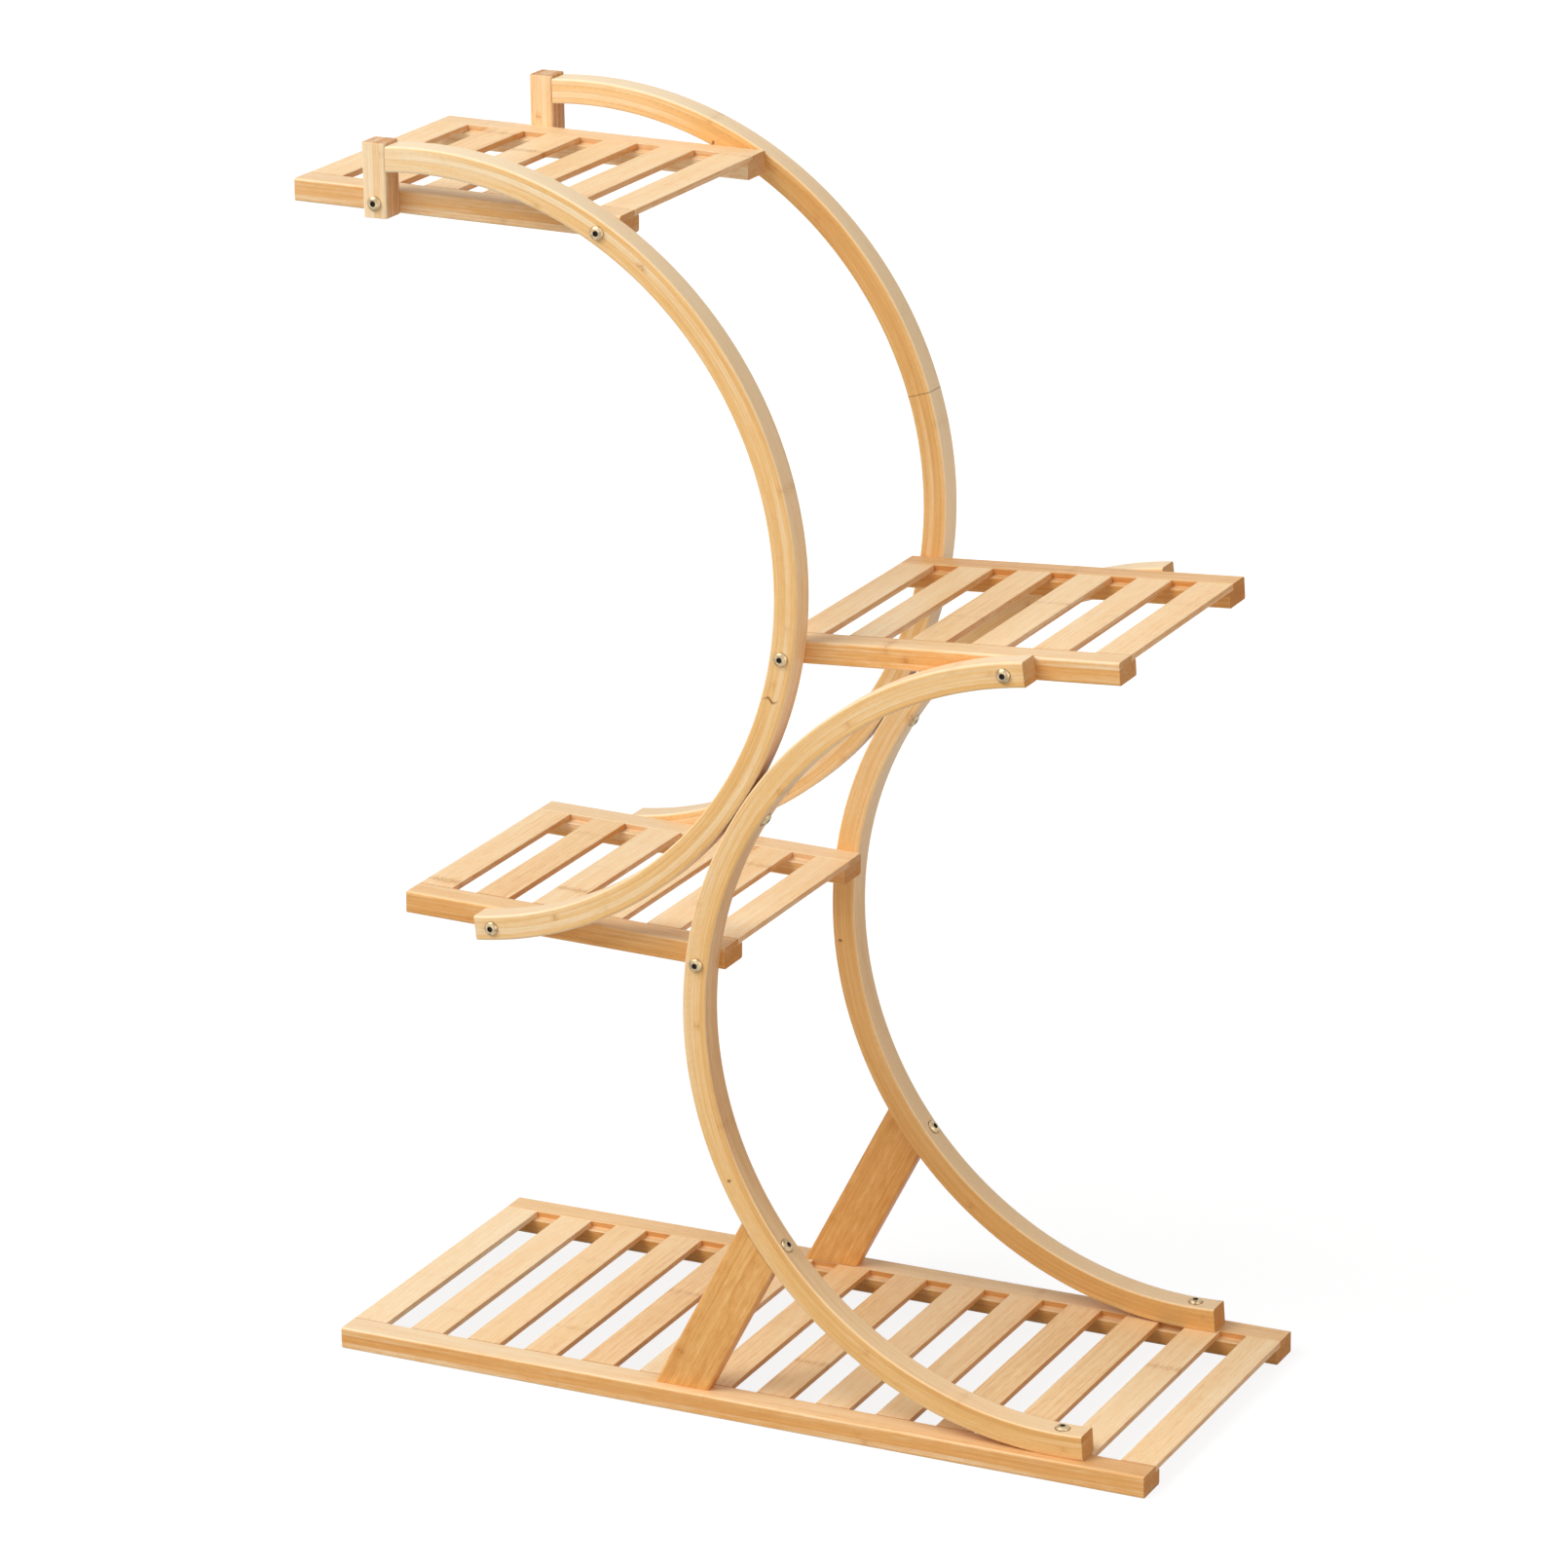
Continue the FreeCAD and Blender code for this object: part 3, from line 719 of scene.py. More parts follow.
# a rail's faces past the step's corner are darkened by this share, as painted shade
rabbet_painted_shade, tone_spread, most_seed = 0.35, 0.05, 40
sawn_scale, sawn_from = 1.6, 0.5
crisp = 0.45 * mm


def read(items, name):
    """A vector of each point or face of a mesh, as an array."""
    flat = np.zeros(len(items) * 3)
    items.foreach_get(name, flat)
    return flat.reshape(-1, 3)


def store(mesh, name, values, domain="POINT"):
    """Store one number or vector for each point or face of a mesh."""
    kind, key = ("FLOAT", "value") if values.ndim == 1 else ("FLOAT_VECTOR", "vector")
    attribute = mesh.attributes.new(name, kind, domain)
    attribute.data.foreach_set(key, values.astype(np.float32).ravel())


def changing(steps, unit=1.0):
    """A tone or a painted light that changes slowly along a board, through pairs of a place and a
    value.
    """
    places, values = np.array(steps).T
    return lambda along: np.interp(along, places * unit, values)


def mark_grain(piece, board, flat_axis, tone=0.0, lift=0.0, marks=nowhere, curl=0.0, ends=1.0,
               milled=None):
    """Store where every point lies in its board, and which faces are sawn ends or flat faces.

    A face is sawn end where its normal runs with the fibre, and the flat face of a strip where it
    runs with the strips' flat axis, 1 for across and 2 for through. The tone, and the painted light
    and shade that flat faces add to it, are numbers or change along the board. Marks are the place
    of a knot, along and across, and of a seam, along; a curl of 1 makes the knot a small wave.
    Faces beyond a milled corner, across and through, get painted shade: they are darkened partly to
    a sawn end's brown.
    """
    mesh = piece.data
    grain = board.unplace(read(mesh.vertices, "co"))
    everywhere = np.ones(len(grain))
    store(mesh, "grain", grain)
    store(mesh, "marks", np.tile(marks, (len(grain), 1)))
    store(mesh, "seed", everywhere * random.uniform(0, most_seed))
    store(mesh, "curl", everywhere * curl)
    tone, lift = (item(grain[:, 0]) if callable(item) else everywhere * item
                  for item in (tone, lift))
    store(mesh, "tone", tone + random.normal(0, tone_spread))
    store(mesh, "lift", lift)
    normals, centres = read(mesh.polygons, "normal"), read(mesh.polygons, "center")
    with_fibre = np.abs((normals * board.direction_at(centres, 0)).sum(1))
    flat = (normals * board.direction_at(centres, flat_axis)).sum(1) ** 2
    sawn = np.clip(with_fibre * sawn_scale - sawn_from, 0, 1) * ends
    # faces past the step's corner get painted shade, stored with the end grain
    if milled:
        beyond = (board.unplace(centres)[:, 1:] > np.array(milled) - crisp / 2).all(1)
        sawn = np.where(beyond, np.maximum(sawn, rabbet_painted_shade), sawn)
    store(mesh, "end_grain_and_shade", sawn, "FACE")
    store(mesh, "flat_face", flat, "FACE")


# %% A board's place


class Board:
    """A straight board: a corner, and unit vectors along, across and through the wood."""

    def __init__(self, corner, along, across, through):
        self.corner = np.array(corner, float)
        self.axes = np.array([along, across, through], float)

    def place(self, points):
        """From the board to the stand: corner + along * a + across * b + through * c."""
        return self.corner + points @ self.axes

    def unplace(self, points):
        """From the stand back to the board, by dot products with the three unit vectors."""
        return (points - self.corner) @ self.axes.T

    def direction_at(self, points, axis):
        """Along, across or through at some points: the same everywhere in a straight board."""
        return self.axes[axis]

    def on_side(self, flip):
        """The same board on a side of the stand: the rear's has y turned to -y."""
        return Board(self.corner * flip, *(self.axes * flip))


def add_board(node, board, shape, finish, flat_axis, drills=(), flip=sides["front"], **marked):
    """Place, finish and mark one board on a side of the stand."""
    points, faces = shape
    piece = finish_piece(node, board.place(points), faces, finish, drills, flip)
    mark_grain(piece, board.on_side(flip), flat_axis, **marked)


def add_pair(nodes, board, shape, finish, flat_axis, drills, own=({}, {}), **marked):
    """A front board and its rear twin; the nodes' names have {} where the side stands.

    Marks are common to both, or own to the front and to the rear.
    """
    for (side, flip), different in zip(sides.items(), own):
        add_board(nodes.format(side), board, shape, finish, flat_axis, drills, flip, **marked,
                  **different)


# %% [markdown]
# ## Fasteners' places
# Each joint has a bolt that goes through the first piece and screws into a threaded sleeve in the
# second. The place and direction of every joint are worked out once, here, and both the holes and
# the bolts use them.

# %% Joint places
bolt_diameter, hole_gap, head_diameter, head_height = 6 * mm, 0.3 * mm, 11.5 * mm, 3 * mm
spot_depth, spot_gap = 0.5 * mm, 0.5 * mm
insert_diameter, insert_length, insert_recess = 9 * mm, 12 * mm, 0.5 * mm
insert_gap, thread_gap, tip_gap = 0.1 * mm, 0.1 * mm, 1 * mm

upper_middle = (upper_centre, arc_radius - arc_thickness / 2)
opened_middle = (opened_centre, opened_radius - arc_thickness / 2)
points_on_arcs = {name: polar(*middle, degrees(angle), arc_front_y) for name, middle, angle in (
    ("top", upper_middle, 59.7), ("right_upper", upper_middle, -9.6),
    ("right_lower", opened_middle, 99.2), ("left_upper", upper_middle, -81.4),
    ("left_lower", opened_middle, 172.1))}


def slope(left, right):
    """The angle of the line from the left point to the right one."""
    return math.atan2(right[2] - left[2], right[0] - left[0])


shelf_tilts = {
    "top_shelf": degrees(-1.07),
    "right_shelf": slope(points_on_arcs["right_upper"], points_on_arcs["right_lower"]),
    "left_shelf": slope(points_on_arcs["left_upper"], points_on_arcs["left_lower"]),
}

post_low, post_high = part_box("front_post")
post_bolt_lift = 2.5 * mm
post_middle_x = (post_low.x + post_high.x) / 2
top_x, _, top_z = points_on_arcs["top"]
top_line_z = top_z + (post_middle_x - top_x) * math.tan(shelf_tilts["top_shelf"])
points_on_arcs["post"] = np.array([post_middle_x, arc_front_y, top_line_z + post_bolt_lift])
for name, point in points_on_arcs.items():
    print(name, "bolt at", point.round(4))

# %% Joints that are not on the front face
rightward, rearward, upward = np.eye(3)
brace_angle = degrees(218.1)
arc_outward, brace_outward = heading(contact_angle), heading(brace_angle)
arc_seat = polar(opened_centre, opened_radius - arc_thickness + spot_depth, contact_angle,
                 arc_middle_y)
brace_seat = polar(lower_centre, arc_radius - arc_thickness + spot_depth, brace_angle,
                   brace_front_y + brace_thickness / 2)
foot_seat = np.array([lower_centre[0], arc_middle_y,
                      lower_centre[2] - arc_radius + arc_thickness - spot_depth])
brace_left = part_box("front_brace")[0].x
brace_foot_length = brace_width / math.sin(brace_lean)
sunk_depth = insert_recess + insert_length / 2
sunk_seat = np.array([brace_left + brace_foot_length / 2 + sunk_depth / math.tan(brace_lean),
                      brace_seat[1], head_height + spot_depth])
print("foot bolt at", foot_seat.round(4), "sunk bolt at", sunk_seat.round(4))

# %% Holes for the joints
overrun = 8 * mm
hole_radius = bolt_diameter / 2 + hole_gap
spot_radius = head_diameter / 2 + spot_gap
sleeve_hole_radius = insert_diameter / 2 + insert_gap
sleeve_depth = insert_recess + insert_length
arc_grip = arc_thickness - spot_depth


def through_hole(seat, direction, reach):
    """A plain bolt hole that runs past both faces of the piece that it crosses."""
    return drill(seat - direction * overrun, direction, [(hole_radius, overrun + reach)])


def spotted_hole(seat, direction, reach):
    """A bolt hole with a flat ground for the head where the face is curved, or sunk below it."""
    return drill(seat - direction * overrun, direction,
                 [(spot_radius, overrun), (hole_radius, overrun + reach)])


def sleeve_hole(face_point, direction, lead=1 * mm):
    """The wider hole for a sleeve, from just outside a face to the sleeve's depth."""
    return drill(face_point - direction * lead, direction,
                 [(sleeve_hole_radius, lead + sleeve_depth)])


# %% [markdown]
# ## Rails
# A rail is a bar of three stacked strips, with its long edges rounded and a step cut along the
# inner top edge, where the slats' ends lie. The step is part of the outline, so one sweep along
# the length makes the whole rail. The bolts' sleeves are let into it.

# %% Rail outline and rails
rail_steps = 14
milled_corner = (ledge_height, rail_top_width)
rail_outline = rounded_outline(
    [(0, 0), (rail_height, 0), (rail_height, rail_top_width), milled_corner,
     (ledge_height, rail_width), (0, rail_width)],
    [long_edge_round, long_edge_round, crisp + saw_edge_ease, crisp, saw_edge_ease + crisp,
     long_edge_round])


def add_rails(tray, board, length, drills, tone=0.0, painted_lights=(0.0, 0.0)):
    """A tray's front rail and its rear twin, with across running up and through running in."""
    # each rail's own list paints light and shade on its flat faces, and the faces in its step get a
    # painted shade
    add_pair(tray + "_{}_rail", board, bar(rail_outline, 0, length, rail_steps, paired=False),
             "bamboo_rails", 1, drills, [{"lift": lift} for lift in painted_lights], tone=tone,
             milled=milled_corner)


# %% Slat outline and slats
slat_edge_round, slat_end_ease = 0.7 * mm, 0.3 * mm
slat_outline = rectangle(slat_width, slat_thickness, slat_edge_round)
slat_start = rail_top_width + slat_end_gap


def add_slats(tray, board, length, depth, count, tones=((0, 0.06), (1, 0.06))):
    """A tray's slats, evenly spaced, each lying on the ledges of both rails.

    The tones are pairs of a share of the tray's length, from the left, and a tone.
    """
    pitch = (length - slat_width) / (count - 1)
    shape = bar(slat_outline, 0, depth - 2 * slat_start, straight_steps, slat_end_ease)
    lengthwise, upright, inward = board.axes
    shades = changing(tones)(np.linspace(0, 1, count))
    for number, shade in enumerate(shades, 1):
        corner = (board.corner + lengthwise * ((number - 1) * pitch + slat_width)
                  + upright * ledge_height + inward * slat_start)
        node = f"{tray}_slat_{str(number).zfill(len(str(count)))}"
        add_board(node, Board(corner, inward, -lengthwise, upright), shape, "bamboo_slats", 2,
                  tone=shade)


# %% [markdown]
# ## The base
# The base is the longest tray, with fourteen slats, and it lies on the floor. Each of its rails is
# drilled for two joints: the foot of a lower arc and, from below, the foot of a brace.

# %% Make the base
base_slats = 14
base_length = base_high.x - base_low.x
base_board = Board((base_low.x, front_y, 0), rightward, upward, rearward)
foot_hole = drill(foot_seat + upward * overrun, -upward,
                  [(hole_radius, overrun + foot_seat[2] - insert_length - insert_recess),
                   (sleeve_hole_radius, 2 * overrun + foot_seat[2])])
sunk_hole = spotted_hole(sunk_seat, upward, rail_height)
# painted light and shade on the base rails' tops: the front one is paler at the left end and darker
# at the right, by the arc's foot; the rear one is paler in the middle, against the shade of the
# arcs and braces
front_rail_painted_light = changing([(0, 0.42), (0.24, 0.30), (0.34, -0.04), (0.50, 0.0), (0.64, -0.35)])
rear_rail_painted_light = changing([(0, 0.12), (0.20, 0.0), (0.34, 0.25), (0.50, 0.25), (0.64, 0.0)])
add_rails("base", base_board, base_length, [foot_hole, sunk_hole], painted_lights=(front_rail_painted_light, rear_rail_painted_light))
# the base's tones paint light as well: the slats are paler towards the left end, where the light
# falls closest
add_slats("base", base_board, base_length, base_depth, base_slats,
          [(0, 0.44), (0.08, 0.12), (0.3, 0.06), (0.5, 0.02), (0.7, 0.0), (0.85, -0.02),
           (0.92, 0.06), (1, 0.04)])
print("base:", base_slats, "slats,", round(base_length, 4), "m long")

# %% [markdown]
# ## The three shelves
# A shelf is the same tray in small, with six slats. Each hangs on its bolts and is not quite
# level, because the bolt holes in the arcs are not quite at one height.

# %% Make the shelves
shelf_length, shelf_slats = 280 * mm, 6
shelf_depth = -2 * shelf_front_y
shelf_rows = {
    "top_shelf": ("top", shelf_length - 8 * mm, ["top", "post"], 0.15),
    "right_shelf": ("right_upper", 14 * mm, ["right_upper", "right_lower"], -0.12),
    "left_shelf": ("left_lower", shelf_length - 13.5 * mm, ["left_upper", "left_lower"], 0.04),
}
for shelf, (anchor, anchor_at, bolts, rail_tone) in shelf_rows.items():
    tilt = shelf_tilts[shelf]
    lengthwise = heading(tilt)
    upright = np.array([-math.sin(tilt), 0, math.cos(tilt)])
    corner = points_on_arcs[anchor] - lengthwise * anchor_at - upright * rail_height / 2
    corner[1] = shelf_front_y
    board = Board(corner, lengthwise, upright, rearward)
    holes = [sleeve_hole(points_on_arcs[name] + rearward * arc_depth, rearward) for name in bolts]
    add_rails(shelf, board, shelf_length, holes, tone=rail_tone)
    add_slats(shelf, board, shelf_length, shelf_depth, shelf_slats)
    print(shelf, "tilts", round(math.degrees(tilt), 2), "degrees")

# %% [markdown]
# ## The bent arcs
# An arc is glued from thin layers in a curved mould. As a surface it is a rounded rectangle
# carried round a circle: along is the way round, across is the distance from the centre, and
# through is the depth. A lower arc follows two circles that meet tangent, because its upper half
# is sprung open a little.

# %% Arcs as bars on circles


class BentBoard:
    """A bar bent round two circles in the XZ plane, which meet tangent at a seam angle.

    Along is the way round at the closed circle's outer face, so an angle is along / arc_radius.
    Each circle is a centre and the radius of the bar's outer face. A foot may be ground flat, at
    a height.
    """

    def __init__(self, opened, closed, seam, from_angle, flat_at=0.0):
        self.opened, self.closed, self.seam = opened, closed, seam
        self.from_angle, self.flat_at = from_angle, flat_at

    def circle(self, angle):
        """The centre and the outer radius that hold at each angle."""
        before = angle < self.seam
        centre = np.where(before[:, None], self.opened[0], self.closed[0])
        return centre, np.where(before, self.opened[1], self.closed[1])

    def place(self, points):
        """To the stand: centre + (outer radius - thickness + across) * (cos, sin) of the angle."""
        along, across, through = points.T
        angle = along / arc_radius
        centre, outer = self.circle(angle)
        spoke = np.stack([np.cos(angle), 0 * angle, np.sin(angle)], 1)
        placed = centre + (outer - arc_thickness + across)[:, None] * spoke
        placed[:, 1] = arc_front_y + through
        placed[:, 2] = np.maximum(placed[:, 2], self.flat_at)
        return placed

    def angle_about(self, centre, points):
        """The angle of each point about a centre, counted on from from_angle without a jump."""
        angle = np.arctan2(points[:, 2] - centre[2], points[:, 0] - centre[0])
        return (angle - self.from_angle) % full_turn + self.from_angle

    def angles(self, points):
        """The angle of each point about the centre that holds there."""
        closed = self.angle_about(self.closed[0], points)
        return np.where(closed < self.seam, self.angle_about(self.opened[0], points), closed)

    def unplace(self, points):
        """From the stand back to the bar, on either side of the stand."""
        angle = self.angles(points)
        centre, outer = self.circle(angle)
        radius = np.hypot(points[:, 0] - centre[:, 0], points[:, 2] - centre[:, 2])
        through = abs(arc_front_y) - np.abs(points[:, 1])
        return np.stack([angle * arc_radius, radius - outer + arc_thickness, through], 1)

    def direction_at(self, points, axis):
        """Along is square to the spoke from the centre, and across runs with the spoke."""
        angle = self.angles(points) + (quarter_turn if axis == 0 else 0)
        return np.stack([np.cos(angle), 0 * angle, np.sin(angle)], 1)

    def on_side(self, flip):
        """The same bar, because unplace reads either side."""
        return self


turn_step = degrees(1.2)
one_degree_along = degrees(1) * arc_radius


def add_arcs(nodes, bent, start, end, turn, drills, own):
    """A front arc and its rear twin, in as many steps as fit into its turn."""
    shape = bar(rectangle(arc_thickness, arc_depth), start, end, round(turn / turn_step))
    add_pair(nodes, bent, shape, "bamboo_arcs", 1, drills, own)
    print(nodes.format("front"), "and its twin have", len(shape[1]), "faces each, undrilled")


def arc_marks(tones, painted_lights, knot, seam=nowhere[2], curl=0.0):
    """What is marked on one arc: pairs of an angle in degrees and a tone or a painted light, and a
    knot.

    The painted light and shade lie on the inner and the outer face. The knot is an angle and a
    distance across.
    """
    return {"tone": changing(tones, one_degree_along), "lift": changing(painted_lights, one_degree_along),
            "marks": (degrees(knot[0]) * arc_radius, knot[1], seam), "curl": curl}


def arc_holes(*names):
    """The bolt holes through an arc at some of the joints on its front face."""
    return [through_hole(points_on_arcs[name], rearward, arc_depth + overrun) for name in names]


# %% The upper arcs
upper_start = degrees(-84.2)
upper_reach = upper_centre[0] - post_high.x


def at_the_post(across):
    """Where a fibre meets the post's upright side: a quarter turn + asin(reach / its radius)."""
    radius = arc_radius - arc_thickness + across
    return (quarter_turn + np.arcsin(upper_reach / radius)) * arc_radius


dowel_diameter, dowel_length, dowel_spacing, dowel_gap = 6 * mm, 24 * mm, 10 * mm, 0.1 * mm
dowel_z = upper_centre[2] + math.sqrt(upper_middle[1] ** 2 - upper_reach ** 2)
dowel_starts = [np.array([post_high.x - dowel_length / 2, arc_middle_y + half, dowel_z])
                for half in (-dowel_spacing / 2, dowel_spacing / 2)]
dowel_holes = [drill(start - rightward * dowel_gap, rightward,
                     [(dowel_diameter / 2 + dowel_gap, dowel_length + 2 * dowel_gap)])
               for start in dowel_starts]
contact_point = polar(upper_centre, arc_radius, contact_angle + math.pi, arc_middle_y)
upper_drills = arc_holes("top", "right_upper", "left_upper")
upper_drills += [sleeve_hole(contact_point, arc_outward)] + dowel_holes
upper_bent = BentBoard((upper_centre, arc_radius), (upper_centre, arc_radius), 0.0, -math.pi)
# For each arc, the first list is its tone along it; the second is painted light and shade on the
# inner and outer faces, paler where they turn up to the light, darker where they are shaded.
upper_own = (
    arc_marks([(-84, 0.20), (-60, 0.08), (-30, 0.0), (35, 0.0), (60, 0.06), (85, 0.2),
               (110, 0.34)],
              [(-84, 0.2), (-60, 0.12), (-25, -0.25), (5, -0.05), (35, 0.06), (60, 0.3),
               (85, 0.45)], (-16.1, 8.5 * mm), curl=1.0),
    arc_marks([(-84, 0.15), (-30, 0.05), (5, -0.02), (20, -0.2), (50, -0.3), (65, -0.1), (80, 0.2),
               (110, 0.3)],
              [(-84, 0.2), (-60, 0.2), (-25, 0.1), (5, 0.25), (50, 0.3), (85, 0.3)],
              (67, 3 * mm), seam=degrees(16.8) * arc_radius),
)
add_arcs("{}_upper_arc", upper_bent, upper_start * arc_radius, at_the_post,
         quarter_turn - upper_start, upper_drills, upper_own)

# %% The lower arcs
lower_start, lower_end = degrees(96.2), degrees(273.9)
lower_drills = arc_holes("right_lower", "left_lower")
lower_drills += [spotted_hole(seat, direction, arc_grip + overrun) for seat, direction in (
    (arc_seat, arc_outward), (brace_seat, brace_outward), (foot_seat, -upward))]
lower_bent = BentBoard((opened_centre, opened_radius), (lower_centre, arc_radius), opened_from, 0.0,
                       rail_height)
# As above; the painted light darkens the front arc's inner face where it turns to the right, and
# pales both arcs towards their feet.
lower_own = (
    arc_marks([(96, 0.18), (140, 0.14), (190, 0.08), (225, 0.0), (274, 0.0)],
              [(96, 0.15), (130, 0.1), (160, -0.3), (190, -0.3), (210, -0.05), (225, 0.1),
               (245, 0.22), (274, 0.38)], (205.5, 12 * mm)),
    arc_marks([(96, 0.14), (160, 0.1), (180, -0.14), (205, -0.12), (225, -0.16), (274, -0.24)],
              [(96, 0.15), (130, 0.1), (160, 0.0), (190, 0.0), (210, 0.15), (225, 0.28),
               (245, 0.34), (274, 0.44)], (185, 14 * mm)),
)
add_arcs("{}_lower_arc", lower_bent, lower_start * arc_radius, lower_end * arc_radius,
         lower_end - lower_start, lower_drills, lower_own)

# %% [markdown]
# ## Posts
# A post is a short upright bar of four narrow strips, doweled and glued to an upper arc's end.
# It carries the outer bolt of the top shelf.

# %% Make the posts
post_board = Board((post_low.x, arc_front_y, post_low.z), upward, rightward, rearward)
post_height = post_high.z - post_low.z
post_shape = bar(rectangle(post_width, arc_depth), 0, post_height, straight_steps)
add_pair("{}_post", post_board, post_shape, "bamboo_posts", 2, arc_holes("post") + dowel_holes,
         tone=0.10, ends=0.4)
print("posts", round(post_height, 4), "m tall")

# %% [markdown]
# ## Braces
# A brace is a flat board that leans from the base rail to the back of a lower arc. Its foot is
# sawn level and its top is coped, which means cut hollow to fit round the arc. Each fibre simply
# starts on the rail and stops on the arc's circle, so one formula makes both ends.

# %% Make the braces
brace_top_gap = 0.3 * mm
lean_across = np.array([math.sin(brace_lean), 0, -math.cos(brace_lean)])
brace_board = Board((brace_left, brace_front_y, rail_height), heading(brace_lean), lean_across,
                    rearward)
centre_along, centre_across, _ = brace_board.unplace(lower_centre + rearward * brace_front_y)


def on_the_rail(across):
    """Where a fibre stands on the rail's level top: it starts across / tan(lean) further along."""
    return across / math.tan(brace_lean)


def on_the_arc(across):
    """Where a fibre first meets the circle: the centre's along minus the root of r^2 - across^2."""
    radius = arc_radius + brace_top_gap
    return centre_along - np.sqrt(radius ** 2 - (across - centre_across) ** 2)


brace_steps, brace_side_steps = 6, 12
brace_outline = rectangle(brace_width, brace_thickness, side_steps=brace_side_steps)
rail_point = np.array([sunk_seat[0], sunk_seat[1], rail_height])
brace_face_point = brace_seat + brace_outward * (arc_grip + brace_top_gap)
brace_drills = [sleeve_hole(rail_point, upward), sleeve_hole(brace_face_point, brace_outward)]
add_pair("{}_brace", brace_board, bar(brace_outline, on_the_rail, on_the_arc, brace_steps),
         "bamboo_braces", 2, brace_drills, tone=-0.25)
print("seen from a brace's own board, the lower arc's centre is at", round(centre_along, 4),
      round(centre_across, 4))

# %% [markdown]
# ## Bolts
# A button-head bolt is a turned form: rings of points, each with its own radius and height. The
# head's rings draw a low dome; then the ring's radius changes from a circle to a hexagon, which
# is the apothem divided by the cosine of the angle from the nearest flat's middle, and the same
# rings go down as the socket's walls. On the shank the radius rises and falls with
# height / pitch - angle / full turn, which is a screw thread.

# %% A bolt
bolt_radius, head_radius, crown_radius = bolt_diameter / 2, head_diameter / 2, 2.8 * mm
head_rim, head_bulge, crown_inset = 1 * mm, 0.45 * mm, 0.12 * mm
rim_height, rim_inset = 0.25 * mm, 0.2 * mm
socket_width, socket_depth, socket_lead, lead_radius = 4 * mm, 1.8 * mm, 0.2 * mm, 2.4 * mm
pit_radius, pit_depth, floor_radius = 0.3 * mm, 0.35 * mm, 1.84 * mm
neck_width, neck_height = 0.25 * mm, 0.3 * mm
thread_pitch, thread_depth, thread_run = 1 * mm, 0.45 * mm, 17 * mm
thread_lead, thread_end, tip_height, tip_inset = 0.6 * mm, 1 * mm, 0.8 * mm, 0.5 * mm
bolt_sides, dome_rings, steps_in_turn = 60, 9, 6


def hexagon(apothem, angle):
    """A hexagon's radius at each angle: apothem / cos(angle from the nearest flat's middle)."""
    sector = full_turn / 6
    return apothem / np.cos((angle + sector / 2) % sector - sector / 2)


def bolt(seat, direction, length):
    """A button-head bolt, seated under its head, its shank pointing in; and its recess's rings."""
    angle = spokes_round(direction, bolt_sides)[1]
    top, floor = -head_height, socket_depth - head_height
    socket = hexagon(socket_width / 2, angle)
    rings = [(pit_radius, floor + pit_depth), (floor_radius, floor), (socket, floor),
             (socket, top + socket_lead)]
    recess_rings = len(rings)
    rings += [(lead_radius, top), (crown_radius - crown_inset, top)]
    spread, drop = head_radius - crown_radius, head_height - head_rim
    slant = math.hypot(spread, drop)
    for share in np.linspace(0, 1, dome_rings):
        swell = head_bulge * 4 * share * (1 - share) / slant
        rings.append((crown_radius + spread * share + swell * drop,
                      top + drop * share - swell * spread))
    plain_to, root = length - thread_run, bolt_radius - thread_depth
    rings += [(head_radius, -rim_height), (head_radius - rim_inset, 0),
              (bolt_radius + neck_width, 0), (bolt_radius, neck_height),
              (bolt_radius, plain_to - thread_lead)]
    run = np.arange(plain_to, length - thread_end, thread_pitch / steps_in_turn)
    phase = (run[:, None] / thread_pitch - angle / full_turn) % 1
    rings += zip(bolt_radius - thread_depth * np.abs(2 * phase - 1), run)
    rings += [(root, length - tip_height), (root - tip_inset, length)]
    return *turned(rings, bolt_sides, seat, direction), recess_rings


def add_bolts(node, joints):
    """All bolts of one node in one piece; a joint is a seat, a direction and a length."""
    parts, recess = [], []
    for seat, direction, length in joints:
        for flip in sides.values():
            points, faces, recess_rings = bolt(seat * flip, direction * flip, length)
            parts.append((points, faces))
            # the socket's recess is marked, to be painted dark as shade
            inside = np.zeros(len(points))
            inside[:recess_rings * bolt_sides] = 1
            inside[-2] = 1
            recess.append(inside)
    piece = finish_piece(node, *joined(parts), "bolt_steel")
    store(piece.data, "recess", np.concatenate(recess))
    print(node, len(parts), "bolts,", len(piece.data.polygons), "faces")


# %% Make the bolts
shank_beyond = insert_length - tip_gap
into_face = arc_depth + insert_recess
into_arc = arc_grip + contact_gap + insert_recess
into_brace = arc_grip + brace_top_gap + insert_recess
into_foot = foot_seat[2] - insert_recess - insert_length
into_sunk = rail_height - sunk_seat[2] + insert_recess
joints = {
    "shelf_bolts": [(point, rearward, into_face) for point in points_on_arcs.values()],
    "arc_joining_bolts": [(arc_seat, arc_outward, into_arc)],
    "brace_top_bolts": [(brace_seat, brace_outward, into_brace)],
    "foot_bolts": [(foot_seat, -upward, into_foot)],
    "brace_foot_bolts": [(sunk_seat, upward, into_sunk)],
}
for node, rows in joints.items():
    add_bolts(node, [(seat, direction, into + shank_beyond) for seat, direction, into in rows])

# %% [markdown]
# ## Threaded sleeves and dowels
# The sleeves have a coarse outer thread that bites into the wood and a fine bore for the bolt. The
# dowels are fluted, so that glue can escape, and have chamfered ends. Both are turned forms too.

# %% A threaded sleeve
sleeve_sides, sleeve_rings = 36, 36
coarse_pitch, coarse_depth, coarse_lead, bore_lip = 2.2 * mm, 0.7 * mm, 0.6 * mm, 0.3 * mm
flank_slope, crest_share = 2.4, 0.7


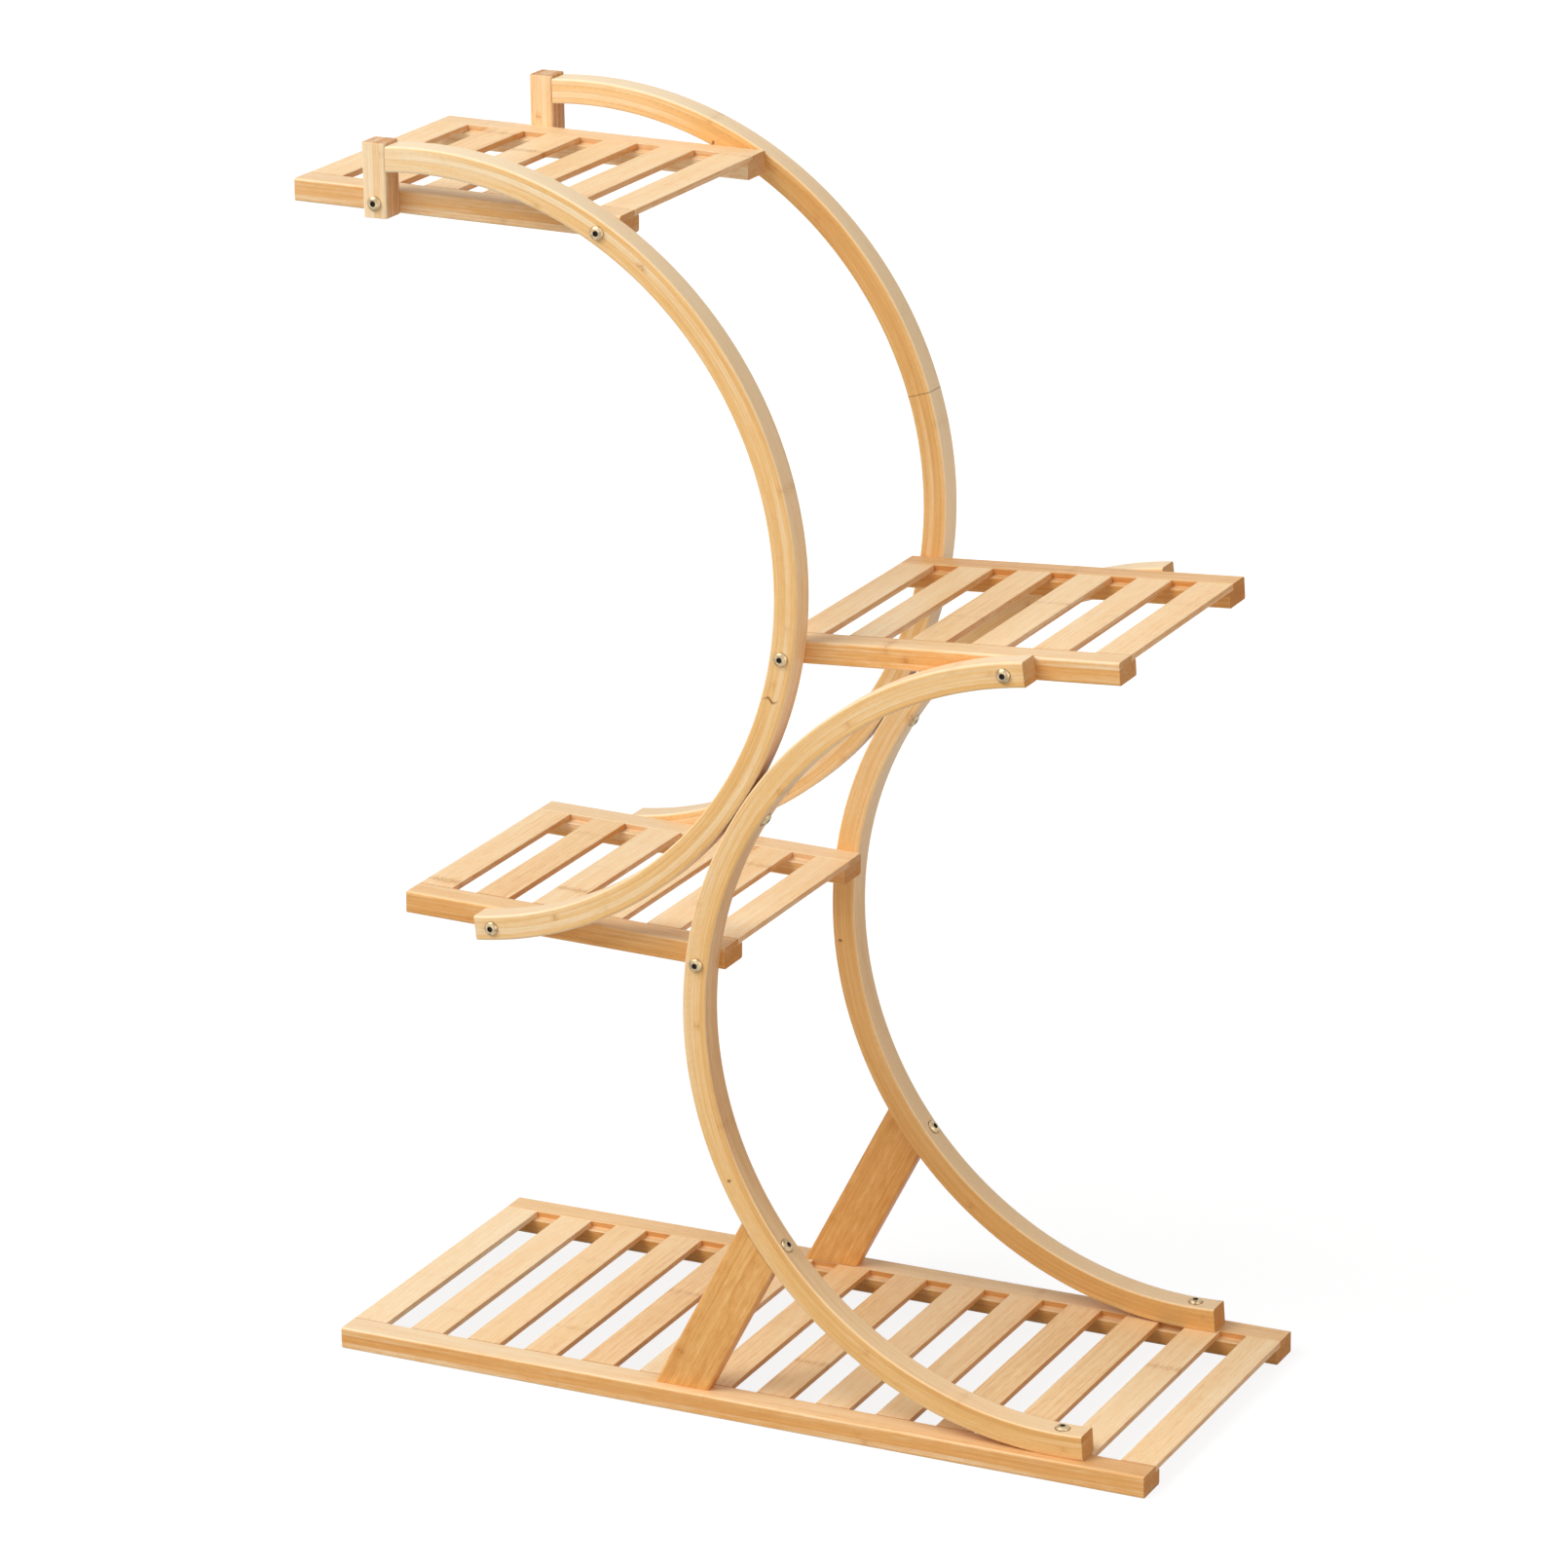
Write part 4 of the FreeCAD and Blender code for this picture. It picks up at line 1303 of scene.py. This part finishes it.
def sleeve(mouth, direction):
    """A sleeve as one ring-shaped surface: a coarse thread, flat ends and a smooth bore."""
    spoke, angle = spokes_round(direction, sleeve_sides)
    run = np.linspace(coarse_lead, insert_length - coarse_lead, sleeve_rings)
    phase = (run[:, None] / coarse_pitch - angle / full_turn) % 1
    cut_in = np.clip(np.abs(2 * phase - 1) * flank_slope - crest_share, 0, 1)
    bore, body = bolt_radius + thread_gap, insert_diameter / 2 - coarse_depth
    ends = np.ones((3, sleeve_sides)) * [[bore], [bore + bore_lip], [body]]
    radius = np.concatenate([ends, insert_diameter / 2 - coarse_depth * cut_in, ends[::-1]])
    level = np.array([bore_lip, 0, 0, *run, insert_length, insert_length, insert_length - bore_lip])
    points = mouth + level[:, None, None] * direction + radius[..., None] * spoke
    faces = faces_between(len(level) + 1, sleeve_sides) % radius.size
    return points.reshape(-1, 3), faces.tolist()


sleeves = [sleeve((seat + direction * into) * flip, direction * flip)
           for rows in joints.values() for seat, direction, into in rows for flip in sides.values()]
finish_piece("threaded_inserts", *joined(sleeves), "insert_zinc")
print(len(sleeves), "threaded sleeves")

# %% Dowels
flutes, flute_depth, flute_power = 12, 0.25 * mm, 6
dowel_chamfer, dowel_sides, dowel_dimple = 0.8 * mm, 72, 0.2


def dowel(start):
    """A fluted dowel: its radius dips by flute_depth at each flute, as a high power of a cosine."""
    angle = spokes_round(rightward, dowel_sides)[1]
    fluted = dowel_diameter / 2 - flute_depth * np.abs(np.cos(flutes / 2 * angle)) ** flute_power
    narrow = dowel_diameter / 2 - dowel_chamfer
    rings = [(narrow * dowel_dimple, 0), (narrow, 0), (fluted, dowel_chamfer),
             (fluted, dowel_length - dowel_chamfer), (narrow, dowel_length),
             (narrow * dowel_dimple, dowel_length)]
    return turned(rings, dowel_sides, start, rightward)


dowels = [dowel(start * flip) for start in dowel_starts for flip in sides.values()]
piece = finish_piece("post_dowels", *joined(dowels), "dowel_wood")
mark_grain(piece, Board(dowel_starts[0], rightward, rearward, upward), 2)
print(len(dowels), "dowels")

# %% [markdown]
# ## Check and finish
# Every new piece should fill the same box as the node that it stands for. The largest difference is
# printed.

# %% Compare boxes and finish
worth_telling, worst = 0.15 * mm, 0.0
for node, piece in made_pieces.items():
    points = read(piece.data.vertices, "co")
    gap = np.abs(np.array([points.min(0), points.max(0)]) - np.array(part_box(node))).max()
    if gap > worth_telling:
        print("  ", node, "differs by", round(gap / mm, 3), "mm")
    worst = max(worst, gap)
print(len(made_pieces), "pieces; the largest difference of boxes is", round(worst / mm, 3), "mm")
